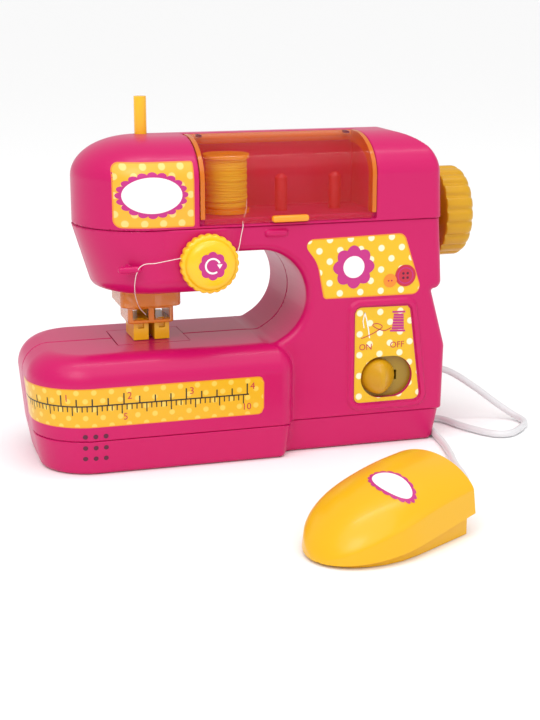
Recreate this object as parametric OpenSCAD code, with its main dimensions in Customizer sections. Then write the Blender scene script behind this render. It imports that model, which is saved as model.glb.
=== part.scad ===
// Toy sewing machine with a foot pedal.
// Frame: X to the right, Y to the back, Z up, origin on the floor under the casing.

/* [Casing] */
// Distance from the origin to the left end of the bed
bed_left = 90; // [84:1:110]
// Where the bed's right end meets the column
bed_right = 19.5; // [16:0.5:24]
// Depth of the bed, front to back
bed_depth = 72; // [68:1:84]
// Height of the bed's flat top
bed_top = 48; // [46:0.5:54]
// Plan radius of the bed's left corners
bed_end_r = 24; // [18:1:28]
// Radius along the bed's top edge
bed_fillet = 11.5; // [6:0.5:12]
// How much the bed's left end leans in at the pan
bed_draft = 3.7; // [1:0.1:5]
// Height of the base pan
pan_h = 14.4; // [12:0.2:18]
// Lean of the pan's wall from its rim to the floor
pan_tuck = 3; // [1:0.5:5]
// Distance from the origin to the column's right face
col_right = 88; // [86:1:100]
// Depth of the column and the arm
body_depth = 58; // [56:1:64]
// Radius of the round end of the throat
throat_r = 19.75; // [16:0.25:20.5]
// Place of the throat's round end along X
throat_x = 7; // [2:0.5:10]
// Height of the seam between casing and top cover
seam_z = 97; // [96:0.5:102]
// Radius along the casing's front and back edges
edge_r = 3.5; // [1.5:0.5:5]
// Wall of the mouldings
wall = 2.2; // [1.6:0.1:2.6]

/* [Head] */
// Place of the needle and of the head's round end along X
needle_x = -34.5; // [-36:0.5:-32]
// Half width of the head from the needle to its left end
head_r = 30.5; // [28:0.5:34]
// Height of the head's underside
head_z = 70.5; // [69:0.5:72]
// Place of the head's right end along X
head_right = -5; // [-8:0.5:-2]
// Lean of the head's left end, over its height
head_lean = 8; // [2:0.5:12]
// Radius along the head's lower edge
head_edge_r = 7; // [3:0.5:9]
// Length of the thread hook
hook_len = 8; // [5:0.5:10]
// Thickness of the thread hook
hook_t = 2.5; // [1.5:0.5:3]

/* [Top cover] */
// Height of the top of the casing
top_z = 131.8; // [130:0.2:140]
// Height of the round along the cover's top
crown_h = 16; // [10:1:20]
// Depth of the round along the cover's top
crown_d = 24.5; // [16:0.5:26]
// Radius of the cover's top right end
dome_r = 18; // [10:1:24]
// Left edge of the spool bay
bay_left = -18.5; // [-20:0.5:-16]
// Right edge of the spool bay
bay_right = 56; // [50:0.5:58]
// Height of the spool bay's floor
bay_floor = 100.4; // [100:0.2:104]

/* [Spool lid] */
// Thickness of the lid's sheet
lid_t = 1.8; // [1.2:0.1:2.4]
// Width of the lid's end ribs
lid_rib = 5; // [3:0.5:8]
// Radius of the hinge barrel
barrel_r = 2.2; // [1.8:0.1:3]
// Radius of the hinge pins
lid_pin_r = 1; // [0.6:0.1:1.2]
// Length of the pull tab
tab_len = 15.5; // [10:0.5:20]

/* [Spool] */
// Radius of the spool's flanges
spool_r = 9.5; // [8.6:0.1:10]
// Height of the spool
spool_h = 23.8; // [16:0.1:24]
// Radius of the spool's core
spool_core_r = 7.6; // [5:0.1:8]
// Thickness of each flange
spool_flange = 1.6; // [1:0.1:3]
// Thickness of the wound thread
thread_d = 0.8; // [0.5:0.05:0.85]
// Turns of thread that show
thread_turns = 15; // [8:1:15]
// Radius of a thread peg
peg_r = 2.5; // [2:0.1:3.5]
// Height of a bare peg
peg_h = 15; // [8:0.5:18]
// Distance between pegs
peg_pitch = 23.4; // [22:0.2:26]
// Place of the spool along X
spool_x = -3; // [-7:0.5:0]
// Place of the pegs along Y
spool_y = -11.5; // [-12:0.25:-10.5]

/* [Tension dial] */
// Radius of the dial
dial_r = 12.25; // [9:0.25:13]
// How far the dial stands out
dial_h = 8.8; // [6:0.2:12]
// Place of the dial along X
dial_x = -15.6; // [-16:0.1:-12]
// Height of the dial
dial_z = 83.5; // [82:0.5:85]
// Radius of the dial's stem
stem_r = 3; // [2:0.1:4]

/* [Needle and presser] */
// Radius of the needle bar
needle_bar_r = 1.8; // [1.2:0.1:2]
// Place of the needle along Y
needle_y = -2; // [-2.5:0.1:-1.5]
// Radius of the presser bar
presser_bar_r = 2.55; // [2:0.05:2.8]
// Place of the presser bar along Y
presser_y = 6; // [5.5:0.1:7]
// Height of the presser bar's top
post_z = 147; // [142:0.5:155]
// Width of the presser foot
foot_w = 15; // [12:0.5:16]
// Depth of the presser foot
foot_d = 17; // [16.5:0.5:20]
// Height of the presser foot's toes
toe_h = 8.8; // [6:0.2:8.8]
// Width of the gap between the toes
toe_gap = 2.5; // [1.6:0.1:4]
// Travel of the presser foot
lift = 6; // [3:0.5:6]
// Travel of the needle
stroke = 9; // [6:0.5:9]
// Outer width of the needle guard's collar
guard_w = 26; // [24.5:0.5:28]
// Outer depth of the needle guard
guard_d = 26; // [25:0.5:27]
// Wall of the needle guard
guard_t = 1.5; // [1:0.1:1.8]

/* [Handwheel] */
// Radius of the handwheel
wheel_r = 19.4; // [14:0.2:22]
// Width of the handwheel's rim
wheel_w = 13; // [9:0.5:16]
// Radius of the main shaft
shaft_r = 2; // [1.5:0.1:2.4]
// Height of the main shaft
shaft_z = 95.5; // [95:0.1:95.8]
// Grooves round the rim
wheel_grooves = 26; // [16:1:36]
// Radius of the round on the rim's outer edge
wheel_edge_r = 4; // [2:0.5:5]

/* [Gear train] */
// Module of the gears
gear_m = 0.8; // [0.7:0.05:0.85]
// Teeth of the drive gear
drive_teeth = 40; // [40:4:40]
// Teeth of both pinions
pinion_teeth = 12; // [12:1:12]
// Teeth of the idler's large gear
idler_teeth = 36; // [36:4:36]
// Face width of a gear
gear_w = 3.5; // [2.5:0.1:3.6]
// Radius of the motor can
motor_r = 10; // [8:0.5:10.5]
// Length of the motor can
motor_len = 25; // [18:0.5:27]
// Radius of the idler's pin
idler_pin_r = 1.5; // [1:0.1:2]

/* [Switch] */
// Radius of the switch knob
knob_r = 7.6; // [6:0.1:8]
// How far the knob stands out of its plate
knob_h = 6.5; // [4:0.5:8]
// Travel of the switch knob
knob_travel = 6.5; // [4:0.25:7]
// Height of the switch
switch_z = 30.3; // [30:0.1:31]
// Place of the switch's middle along X
switch_x = 61.8; // [60:0.2:63]

/* [Electrics] */
// Radius of a battery
cell_r = 7.1; // [5.2:0.1:7.2]
// Length of a battery
cell_len = 50.5; // [44:0.5:51]
// Number of batteries
cell_count = 3; // [1:1:3]
// Radius of the speaker
speaker_r = 8.5; // [7:0.1:8.8]
// Radius of a speaker hole
sound_hole_r = 1; // [0.6:0.1:1.2]

/* [Pedal] */
// Length of the pedal
pedal_len = 61; // [60:1:80]
// Width of the pedal
pedal_w = 43; // [40:1:52]
// Height of the pedal
pedal_h = 26.5; // [22:0.5:32]
// Height of the base's wedge at the back
pedal_wedge = 8; // [7.5:0.5:10]
// Drop of the cover's back edge when pressed
pedal_drop = 4; // [2:0.25:4]
// Wall of the pedal's mouldings
pedal_wall = 1.8; // [1.2:0.1:2]

/* [Cord] */
// Diameter of the cord
cord_d = 3; // [2.5:0.1:3.4]

/* [Fits] */
// Gap between pieces that move past each other
gap = 0.3; // [0.25:0.05:0.4]
// Running clearance of a shaft in its bore
run = 0.05; // [0.02:0.01:0.08]
// Clearance of a piece in its seat
seat = 0.05; // [0.02:0.01:0.1]

/* [Hidden] */
$fn = 48;

// Overrun of every cut, and the smallest corner radius
over = 1;
tiny = 0.2;
// Reach of the boxes that halve or trim a solid
reach = 2 * (bed_left + col_right);

// Casing
half_bed = bed_depth / 2;
half_body = body_depth / 2;
bed_corner_r = 6;
bed_front_draft = 0.8;
step_r = 0.5;
pan_floor = 2;
pan_lip = 0.8;
pan_chamfer = 1;
arc_steps = 9;
turn_steps = 3;
throat_steps = 11;
throat_z1 = bed_top + 2 * throat_r - bed_front_draft;
throat_end = throat_x + throat_r;
throat_slope = 30;
throat_z0 = throat_z1 - throat_r * (1 + tan(throat_slope));
throat_run = 4;
throat_low = throat_z0 - (throat_r + throat_run) * tan(throat_slope);
// The column's right side: a flared lower half and an upper half that stands over it
flare = 0.8;
flare_drop = 6;
flare_z = bed_top - flare_drop;
notch_in = 5.8;
notch_x = col_right - notch_in;
notch_rise = 18.3;
notch_z = bed_top + notch_rise;
brow_in = 1.3;
brow_x = col_right - brow_in;
brow_r = 4.2;
brow_rise = 0.7;
upper_in = 3.4;
upper_x = col_right - upper_in;
skirt = edge_r + 2 * over;
// Screw bosses across the two halves, as places along X and Z
boss_r = 4;
screw_r = 1.4;
screw_head_r = 2.8;
screw_head_h = 2;
screw_len = 16;
screw_reach = 12;
boss_bed_in = 17;
boss_bed_drop = 18;
boss_throat_in = 8;
boss_throat_drop = 14;
boss_arm_out = 15;
boss_arm_drop = 16;
boss_column_in = 10;
boss_column_rise = 3;
boss_head_out = 19;
boss_head_drop = 9;
boss_places = [[-bed_left + boss_bed_in, bed_top - boss_bed_drop],
    [throat_x - boss_throat_in, bed_top - boss_throat_drop],
    [throat_end + boss_arm_out, shaft_z - boss_arm_drop],
    [col_right - boss_column_in, bed_top + boss_column_rise],
    [needle_x - boss_head_out, seam_z - boss_head_drop]];
pan_boss_r = 3.4;
pan_boss_in = 20;
pan_boss_y = 17;
pan_boss_column_in = 8;
pan_boss_side = 9;
pan_boss_places = [[-bed_left + pan_boss_in, pan_boss_y],
    [col_right - pan_boss_column_in, half_body - pan_boss_side]];
thumb_len = 9.7;
thumb_h = 3;
thumb_t = 1.4;
thumb_x = 13.2;
thumb_drop = 3;
thumb_z = seam_z - thumb_drop;
bezel_t = 0.8;
bezel_w = 2.4;
panel_low = 19;
panel_high = 61.4;
panel_left = 46.8;
panel_right_low = 77.7;
panel_right_high = 72.2;
panel_r = 3;

// Head
head_out = 0.6;
half_head = half_body + head_out;
web_t = 3.1;
web_x = bay_left - wall - web_t - tiny;
web_rise = 14;
web_z = head_z + web_rise;
hook_drop = 0.5;
hook_z = dial_z - hook_drop;
hook_out = 12.6;
hook_x = needle_x - hook_out;
hook_gap = 1.6;

// Top cover
cover_out = 0.7;
half_cover = half_body + cover_out;
cover_in = 0.3;
cover_left = head_r - cover_in;
cover_back = 2;
cover_right = col_right - cover_back;
cover_lean = 1.5;
cover_corner_r = 5;
crown_z = top_z - crown_h;
crown_steps = 6;
bay_wall = 1.9;
bay_slab = 2.2;
bay_lip = 1.1;

// Spool lid
lid_y = -1;
lid_z = top_z - barrel_r;
lid_left = bay_left + gap;
lid_right = bay_right - gap;
lid_low = seam_z + bay_lip + gap;
bay_back = lid_y + barrel_r + gap;
lid_steps = 12;
lid_pin_len = 6;
lid_slot_len = 8;
lid_slot_w = 2.4;
lid_slot_inset = 5;
tab_h = 1.8;
tab_out = 2.2;
tab_x = 18.7;

// Spool
spool_z = bay_floor + gap;
winding_r = spool_core_r + seat + thread_d / 2;
winding_z0 = spool_z + spool_flange + thread_d / 2 + 2 * seat;
winding_rise = spool_h - 2 * spool_flange - thread_d - 4 * seat;
winding_sides = 6;
winding_rings = 24;
peg_spigot = 17;

// Tension dial
dial_back = -half_head - gap;
dial_rim = 3.2;
dial_dome_share = 0.62;
dial_lobes = 24;
dial_lobe_r = 0.9;
clip_r = 4.6;
clip_t = 1.2;
clip_back = 1;
clip_hub_t = 0.4;
head_wall = 2.8;

// Needle and presser
plate_w = 30;
plate_d = 26;
plate_t = 1.2;
plate_hole_r = 1.6;
bed_roof = 2.4;
guide_w = 17;
guide_y0 = -7;
guide_y1 = 11.5;
guide_h = 11.5;
guide_flange = 2;
guide_flange_t = 2.2;
clamp_r = 3.2;
clamp_h = 3.8;
clamp_z = head_z - clamp_h - gap;
clamp_screw_r = 1;
clamp_screw_len = 2.2;
needle_r = 0.45;
needle_tip = 2;
needle_rise = 6;
needle_low = bed_top + needle_rise;
bar_rise = 13;
bar_top = shaft_z + bar_rise;
foot_z = bed_top + gap;
foot_front = -8;
foot_bridge = 2.6;
shank_w = 8;
shank_behind = 3.6;
shank_before = 3.4;
shank_back = presser_y + shank_behind;
shank_front = presser_y - shank_before;
shank_top = head_z - lift - gap;
toe_notch_w = 2.6;
toe_notch_h = 4;
toe_notch_d = 1.6;
guard_y0 = -12.5;
guard_step = 1.8;
guard_rise = 7.7;
guard_step_rise = 14.7;
guard_z = bed_top + guard_rise;
guard_step_z = bed_top + guard_step_rise;
guard_r = 4;
guard_off = 0.4;
guard_x = needle_x - guard_off;
window_low = 1.3;
window_high = 1.2;
window_side = 1.6;
window_post = 2.2;

// Crank and yoke
crank_throw = stroke / 2;
crank_r = 8.5;
crank_t = 3.5;
crank_x = web_x - gap - crank_t;
crank_pin_r = 1.3;
yoke_t = 2;
crank_pin_len = 1;
yoke_x = crank_x - crank_pin_len - gap - yoke_t;
yoke_z = shaft_z + crank_throw;
yoke_rail = 2.4;
yoke_h = 2 * (crank_pin_r + gap + yoke_rail);
yoke_w = 2 * (crank_throw + crank_pin_r + yoke_rail);
yoke_hub_r = 3.9;

// Handwheel and shaft
bush_r = 3.2;
bush_len = 5.5;
bush_in = 4.2;
bush_x = upper_x - bush_in;
wheel_hub_r = 7;
wheel_gap = 0.7;
wheel_out = 4;
wheel_x = col_right + wheel_out;
wheel_groove_r = 1.1;
wheel_dish = 2;
wheel_boss_r = 12;
shaft_end = wheel_x + wheel_w - wheel_dish - over;

// Gear train: the drive gear above, the idler below it, the motor at the bottom
drive_pitch_r = gear_m * drive_teeth / 2;
pinion_pitch_r = gear_m * pinion_teeth / 2;
idler_pitch_r = gear_m * idler_teeth / 2;
mesh_slack = 0.1;
idler_z = shaft_z - drive_pitch_r - pinion_pitch_r - mesh_slack;
motor_z = idler_z - idler_pitch_r - pinion_pitch_r - mesh_slack;
frame_t = 2;
frame_half = 18.5;
frame_in = 26.5;
frame_span = 13.5;
frame_x0 = col_right - frame_in;
frame_x1 = frame_x0 + frame_t + frame_span;
frame_low = motor_z - motor_r - over;
frame_high = shaft_z + bush_r + over;
frame_foot = 3.5;
frame_back = frame_half + frame_foot;
idler_x = frame_x0 + frame_t + gear_w / 2;
gear_step = 3;
drive_x = idler_x + gear_w + gear_step;
gear_bolt_inset = 5;
motor_flat = 7.7;
motor_boss_r = 3;
motor_boss_len = 1.5;
motor_shaft_r = 1;
motor_shaft_in = 6;
pressure = 25;
addendum_share = 0.8;
dedendum_share = 1.05;
tooth_share = 0.44;
flank_steps = 4;

// Switch
plate_edge = 4;
switch_plate_t = 1.5;
switch_open_r = 8.85;
switch_open_span = 2 * (knob_r + knob_travel / 2 + 2 * gap - switch_open_r);
switch_inner = half_body - wall;
switch_front = -switch_inner + seat;
switch_stem_r = 1.8;
switch_stem_len = 4;
switch_body_w = 22;
switch_body_h = 12;
switch_body_d = 6;
knob_x = switch_x - knob_travel / 2;
ridge_w = 2.4;
ridge_h = 1.2;

// Electrics
door_rib_pitch = 3;
door_in = 28;
door_play = 5.5;
door_side = 2;
cell_in = 3.2;
door_x0 = -bed_left + door_in;
door_len = cell_len + door_play;
door_half = cell_count * (cell_r + gap) + door_side;
cell_x = door_x0 + cell_in;
cell_z = pan_floor + gap + cell_r;
cell_pitch = 2 * (cell_r + gap);
cell_tip_r = 2.6;
cell_tip = 1;
cell_wall = 2;
cell_wall_h = 15;
contact_t = 0.5;
contact_r = 3;
board_w = 34;
board_d = 32;
board_t = 1.6;
board_in = 14;
board_rise = 7;
board_x = throat_end + board_in;
board_z = pan_floor + board_rise;
post_r = 2.6;
post_inset = 3;
chip_w = 9;
chip_h = 2;
cap_r = 3;
cap_h = 7;
speaker_in = 26.4;
speaker_x = -bed_left + speaker_in;
speaker_z = 11.9;
speaker_t = 2.4;
speaker_back = 6.4;
speaker_y = -half_bed + speaker_back;
speaker_magnet_r = 5;
speaker_magnet_t = 0.8;
sound_pitch_x = 4.1;
sound_pitch_z = 4.7;
cradle_w = 10;
cradle_t = 3;

// Pedal: its own frame has the nose at the origin and the back towards +X
pedal_at = [-7.8, -147.9, 0];
pedal_turn = 30;
pedal_nose = pedal_len / 2;
pedal_rise_share = 0.9;
pedal_rise = pedal_len * pedal_rise_share;
pedal_skirt = 1;
pedal_fit = 0.6;
pedal_lap = 2.5;
pedal_floor = 2;
pedal_square = 0.62;
pedal_swell = 0.6;
pedal_station_shares = [0.01, 0.035, 0.08, 0.15, 0.25, 0.37, 0.5, 0.64, 0.82, 1];
pedal_arch = 16;
pedal_pin_r = 1.2;
pedal_pin_u = 9;
pedal_pin_z = 4.6;
pedal_ear_r = 2.8;
pedal_ear_t = 3;
pedal_post_r = 2.5;
pedal_post_share = 0.68;
pedal_post_u = pedal_len * pedal_post_share;
pedal_switch_w = 10;
pedal_switch_h = 6;
plunger_r = 2;
plunger_h = 3;
pedal_relief_r = 2.4;
pedal_relief_len = 9;
pedal_relief_z = 2.6;
pedal_dip = pedal_drop * (pedal_post_u - pedal_pin_u) / (pedal_len - pedal_pin_u);
pedal_post_z = pedal_floor + pedal_switch_h + plunger_h + gap + pedal_dip;

// Cord: from the casing's right side, down to the floor, round in a loop and into the pedal's back
gland_r = 3.6;
gland_tip_r = 2.4;
gland_len = 9;
gland_y = 0;
gland_z = 24;
cord_sides = 8;
cord_route = [[92, 0, 24], [95.5, 0, 24], [100.5, 0, 23.2], [106, -0.5, 20.6], [112, -1.5, 16.6],
    [118, -3, 12.2], [123, -5, 8.2], [127.5, -7.5, 4.8], [131, -11, 2.4], [132.5, -15.5, 1.6],
        [131.5, -20.5, 1.5], [128, -25.5, 1.5],
    [123.5, -30, 1.5], [118.5, -33.3, 1.5], [113.5, -33.2, 1.5], [109.6, -29.8, 1.5], [106.6, -25, 1.5],
    [103.8, -19.5, 1.5], [101.6, -14, 1.5], [100, -8.5, 1.5], [97.3, -3.8, 1.5], [93.2, -2.2, 1.5],
    [89.6, -4.6, 1.5], [88.1, -9.5, 1.5], [87.6, -16, 1.5], [86.8, -23, 1.5], [86, -30, 1.5], [85,
        -37.5, 1.5],
    [83.6, -45, 1.5], [81.8, -53, 1.5], [79.6, -61, 1.5], [77.8, -69, 1.5], [76.4, -77, 1.5], [74.4,
        -85, 1.5],
    [71, -92.5, 1.6], [66.5, -99, 1.9], [61.3, -105, 2.3], [56.1, -110.2, 2.6],
    [51.5, -113.63, 2.6], [47.2, -116.1, 2.6]];

// Outlines

function unit(v) = v / norm(v);
function leftward(v) = [-v[1], v[0]];
function bend(p, c, q) = sign(cross(c - p, q - c));

// Points of the arc that rounds the corner c between p and q
function corner(p, c, q, r, n) =
    let (u = unit(p - c), v = unit(q - c), half = acos(u * v) / 2)
    let (m = c + unit(u + v) * r / sin(half))
    let (t0 = c + u * r / tan(half) - m, t1 = c + v * r / tan(half) - m)
    let (a0 = atan2(t0[1], t0[0]), sweep = (atan2(t1[1], t1[0]) - a0 + 540) % 360 - 180)
    [for (i = [0:n]) m + r * [cos(a0 + sweep * i / n), sin(a0 + sweep * i / n)]];

// A closed outline with each corner rounded to its own radius
function rounded(pts, radii, steps) =
    let (k = len(pts))
    [for (i = [0:k - 1]) each
        corner(pts[(i + k - 1) % k], pts[i], pts[(i + 1) % k], max(radii[i], tiny), steps[i])];

// The same corners moved in by d, and the radii that keep all but the smallest arcs concentric
function inset(pts, d) =
    let (k = len(pts))
    [for (i = [0:k - 1])
        let (n0 = leftward(unit(pts[i] - pts[(i + k - 1) % k])),
            n1 = leftward(unit(pts[(i + 1) % k] - pts[i])))
        pts[i] + d * (n0 + n1) / (1 + n0 * n1)];
function inset_radii(pts, radii, d) =
    let (k = len(pts))
    [for (i = [0:k - 1]) radii[i] <= step_r ? radii[i]
        : radii[i] - d * bend(pts[(i + k - 1) % k], pts[i], pts[(i + 1) % k])];

function level(pts, z) = [for (p = pts) [p[0], p[1], z]];
function slice(pts, y) = [for (p = pts) [p[0], y, p[1]]];

// A closed solid through rings of equal length
module skin(rings) {
    n = len(rings[0]);
    m = len(rings);
    sides = [for (k = [0:m - 2], i = [0:n - 1], t = [0:1])
        let (a = k * n + i, b = k * n + (i + 1) % n)
        t == 0 ? [a, a + n, b] : [b, a + n, b + n]];
    low = [for (i = [0:n - 1]) i];
    high = [for (i = [0:n - 1]) (m - 1) * n + (n - i) % n];
    polyhedron(points = [for (r = rings) each r], faces = concat(sides, [low, high]));
}

module along_x(x) {
    translate([x, 0, 0])
        rotate([90, 0, 90])
            children();
}

// Stands an outline drawn in X and Z up, from y0 towards the back by d
module along_y(y0, d) {
    translate([0, y0 + d, 0])
        rotate([90, 0, 0])
            linear_extrude(d)
                children();
}

module rod_x(x0, x1, y, z, r) {
    translate([x0, y, z])
        rotate([0, 90, 0])
            cylinder(h = x1 - x0, r = r);
}

module rod_y(y0, y1, x, z, r) {
    translate([x, y1, z])
        rotate([90, 0, 0])
            cylinder(h = y1 - y0, r = r);
}

module rod_z(z0, z1, x, y, r) {
    translate([x, y, z0])
        cylinder(h = z1 - z0, r = r);
}

module block(x0, x1, y0, y1, z0, z1) {
    translate([x0, y0, z0])
        cube([x1 - x0, y1 - y0, z1 - z0]);
}

// Casing halves

// Front half of the bed's outline, moved in at the left, the front and the right
function bed_half(dl, df, dr) = concat(
    [[-bed_left + dl, over]],
    [for (i = [0:arc_steps]) let (a = 180 + 90 * i / arc_steps)
        [-bed_left + bed_end_r + (bed_end_r - dl) * cos(a),
            -half_bed + bed_end_r + (bed_end_r - df) * sin(a)]],
    [for (i = [0:turn_steps]) let (a = 270 + 90 * i / turn_steps, r = max(bed_corner_r - df,
        bed_corner_r / 3))
        [bed_right - dr + r * (cos(a) - 1), -half_bed + df + r * (1 + sin(a))]],
    [[bed_right - dr, over]]);

module bed_solid() {
    start = level(bed_half(bed_draft, bed_front_draft, 0), pan_h - over);
    round_rings = [for (i = [0:turn_steps + 2]) let (a = 90 * i / (turn_steps + 2),
        d = bed_fillet * (1 - cos(a)))
        level(bed_half(d, d, 0), bed_top - bed_fillet * (1 - sin(a)))];
    skin(concat([start], round_rings));
}

// Outer outline of column and arm in X and Z, and the outline of the throat that is cut through it
column_pts = [[needle_x, seam_z + skirt], [needle_x, pan_h - skirt], [col_right, pan_h - skirt],
    [col_right + flare, flare_z], [notch_x, notch_z], [brow_x, notch_z + brow_rise], [upper_x,
        seam_z + skirt]];
column_radii = [step_r, step_r, step_r, edge_r, step_r, brow_r, step_r];
column_steps = [1, 1, 1, 2, 1, 4, 1];
throat_pts = [[needle_x - over, throat_low], [throat_x - 4, throat_low], [throat_end, throat_z0],
    [throat_end, throat_z1], [needle_x - over, throat_z1]];
throat_radii = [step_r, step_r, throat_r, throat_r, step_r];
throat_turns = [1, 1, throat_steps - 4, throat_steps, 1];

function column_ring(d) = rounded(inset(column_pts, d), inset_radii(column_pts, column_radii, d),
    column_steps);
function throat_ring(d) = rounded(inset(throat_pts, -d), inset_radii(throat_pts, throat_radii, -d),
    throat_turns);

module column_solid() {
    edge = [for (i = [0:turn_steps]) 90 * i / turn_steps];
    difference() {
        skin(concat([slice(column_ring(0), 2 * over)],
            [for (a = edge) slice(column_ring(edge_r * (1 - cos(a))),
                -half_body + edge_r * (1 - sin(a)))]));
        skin(concat([slice(throat_ring(0), 4 * over)],
            [for (a = edge) if (a < 90)
                slice(throat_ring(edge_r * (1 - cos(a))), -half_body + edge_r * (1 - sin(a)))],
            [slice(throat_ring(edge_r + tiny), -half_body - tiny)]));
    }
}

// Front half of the head's outline at lean dl, moved in all round by d
function head_half(dl, d) = concat(
    [[needle_x - head_r + dl + d, 3 * over]],
    [for (i = [0:arc_steps]) let (a = 180 + 90 * i / arc_steps)
        [needle_x + (head_r - dl - d) * cos(a), (half_head - d) * sin(a)]],
    [for (i = [0:turn_steps]) let (a = 270 + 90 * i / turn_steps)
        [head_right - d + edge_r * (cos(a) - 1), -half_head + d + edge_r * (1 + sin(a))]],
    [[head_right - d, 3 * over]]);

module head_solid() {
    drop = seam_z - head_z;
    round_rings = [for (i = [0:turn_steps + 1])
        let (a = 90 * i / (turn_steps + 1), rise = head_edge_r * (1 - cos(a)))
        level(head_half(head_lean * (1 - rise / drop), head_edge_r * (1 - sin(a))), head_z + rise)];
    skin(concat(round_rings, [level(head_half(0, 0), seam_z), level(head_half(0, 0), seam_z + over)]));
}

module casing_hollow() {
    along_y(-half_body + wall, half_body)
        difference() {
            polygon(column_ring(wall));
            polygon(throat_ring(wall));
        }
    bed_in = bed_front_draft + wall;
    translate([0, 0, pan_h - over])
        linear_extrude(bed_top - bed_fillet - pan_h + over)
            polygon(bed_half(bed_draft + wall, bed_in, wall));
    translate([0, 0, pan_h])
        linear_extrude(bed_top - bed_roof - pan_h)
            polygon(bed_half(bed_fillet, bed_fillet, bed_corner_r));
    translate([0, 0, head_z + wall])
        linear_extrude(seam_z - head_z)
            polygon(head_half(head_lean + wall, head_wall));
}

// What stands inside each front half: screw bosses, the web that holds the shaft's bush, bosses over the pan
module casing_posts() {
    for (p = boss_places)
        rod_y(-half_bed, 0, p[0], p[1], boss_r);
    block(web_x, web_x + web_t, -half_head + over, 0, web_z, seam_z);
    for (p = pan_boss_places) {
        rod_z(0, bed_top - over, p[0], -p[1], pan_boss_r);
        if (p[0] > bed_right)
            block(p[0] - over, p[0] + over, -half_bed, -p[1], 0, bed_top - over);
    }
}

// Openings that lie across both halves: the bars' guide in the head's floor, the needle's hole in the bed
module casing_openings() {
    block(needle_x - guide_w / 2 - seat, needle_x + guide_w / 2 + seat, guide_y0 - seat, guide_y1 + seat,
        head_z - over, head_z + wall + over);
    rod_z(bed_top - bed_roof - over, bed_top + over, needle_x, needle_y, 2 * plate_hole_r);
}

module casing_half() {
    difference() {
        intersection() {
            union() {
                bed_solid();
                column_solid();
                head_solid();
            }
            block(-reach, reach, -reach, 0, pan_h, seam_z);
        }
        difference() {
            casing_hollow();
            casing_posts();
        }
        rod_x(web_x - over, web_x + web_t + over, 0, shaft_z, bush_r + seat);
        rod_x(bush_x - over, reach, 0, shaft_z, bush_r + seat);
        rod_x(col_right - 2 * wall - over, reach, gland_y, gland_z, gland_r + seat);
        block(needle_x - plate_w / 2 - seat, needle_x + plate_w / 2 + seat, -plate_d / 2 - seat, over,
            bed_top - plate_t, bed_top + over);
        for (p = pan_boss_places)
            rod_z(pan_h - over, pan_h + screw_reach, p[0], -p[1], screw_r + seat);
    }
}

module sound_holes() {
    for (i = [-1:1], k = [-1:1])
        rod_y(-half_bed - over, speaker_y - over, speaker_x + i * sound_pitch_x,
            speaker_z + k * sound_pitch_z,
            sound_hole_r);
}

// Outline of the switch panel, moved out by d
function panel_outline(d) =
    let (pts = [[panel_left, panel_low], [panel_right_low, panel_low], [panel_right_high, panel_high],
        [panel_left, panel_high]])
    let (radii = [panel_r, panel_r, panel_r, panel_r])
    rounded(inset(pts, -d), inset_radii(pts, radii, -d), [turn_steps, turn_steps, turn_steps, turn_steps]);

// Round-ended opening that the knob slides along
switch_outline = [for (side = [1, -1], i = [0:2 * arc_steps]) let (a = 180 * i / (2 * arc_steps) - 90)
    [switch_x + side * (switch_open_span / 2 + switch_open_r * cos(a)),
        switch_z + side * switch_open_r * sin(a)]];

module thread_hook() {
    depth = half_head * sqrt(1 - pow((needle_x - hook_x) / (head_r - head_lean / 2), 2));
    front = -half_head - hook_gap;
    block(hook_x - hook_len / 2, hook_x + hook_len / 2, front, front + hook_t, hook_z - hook_t / 2,
        hook_z + hook_t / 2);
    block(hook_x - hook_t / 2, hook_x + hook_t / 2, front, -depth + wall + over,
        hook_z - hook_t / 2, hook_z + hook_t / 2);
}

module front_casing() {
    color("deeppink")
        difference() {
            union() {
                casing_half();
                along_y(-half_body - bezel_t, bezel_t + over)
                    polygon(panel_outline(bezel_w));
                thread_hook();
                along_y(-half_body - thumb_t, thumb_t + over)
                    translate([thumb_x - thumb_len / 2, thumb_z - thumb_h / 2])
                        square([thumb_len, thumb_h]);
            }
            along_y(-half_body - bezel_t - over, bezel_t + over + seat)
                polygon(panel_outline(0));
            along_y(-half_body - over, wall + 2 * over)
                polygon(switch_outline);
            rod_y(-half_head - over, -half_head + head_wall + over, dial_x, dial_z, stem_r + run);
            sound_holes();
            casing_openings();
            for (p = boss_places)
                rod_y(-screw_reach, over, p[0], p[1], screw_r + seat);
        }
}

module rear_casing() {
    color("deeppink")
        difference() {
            union() {
                mirror([0, 1, 0])
                    casing_half();
                for (z = [idler_z, motor_z])
                    rod_y(frame_back, half_body - over, frame_x0 + frame_t + gear_bolt_inset, z, boss_r);
            }
            casing_openings();
            for (p = boss_places) {
                rod_y(-over, half_bed, p[0], p[1], screw_r + seat);
                rod_y(screw_len - screw_reach, half_bed, p[0], p[1], screw_head_r + seat);
            }
        }
}

// Base pan

function pan_ring(d) =
    let (l = -bed_left + bed_draft - pan_lip + tiny)
    let (pts = [[l, -half_bed], [bed_right, -half_bed], [bed_right, -half_body], [col_right, -half_body],
        [col_right, half_body], [bed_right, half_body], [bed_right, half_bed], [l, half_bed]])
    let (radii = [bed_end_r, bed_corner_r, step_r, edge_r + pan_tuck, edge_r + pan_tuck, step_r,
        bed_corner_r, bed_end_r])
    rounded(inset(pts, d), inset_radii(pts, radii, d),
        [arc_steps, turn_steps, 1, turn_steps, turn_steps, 1, turn_steps, arc_steps]);

module pan_tray() {
    difference() {
        skin([level(pan_ring(pan_tuck + pan_chamfer), 0), level(pan_ring(pan_tuck), pan_chamfer),
            level(pan_ring(pan_lip), pan_h)]);
        translate([0, 0, pan_floor])
            linear_extrude(pan_h)
                polygon(pan_ring(pan_tuck + wall));
    }
}

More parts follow.
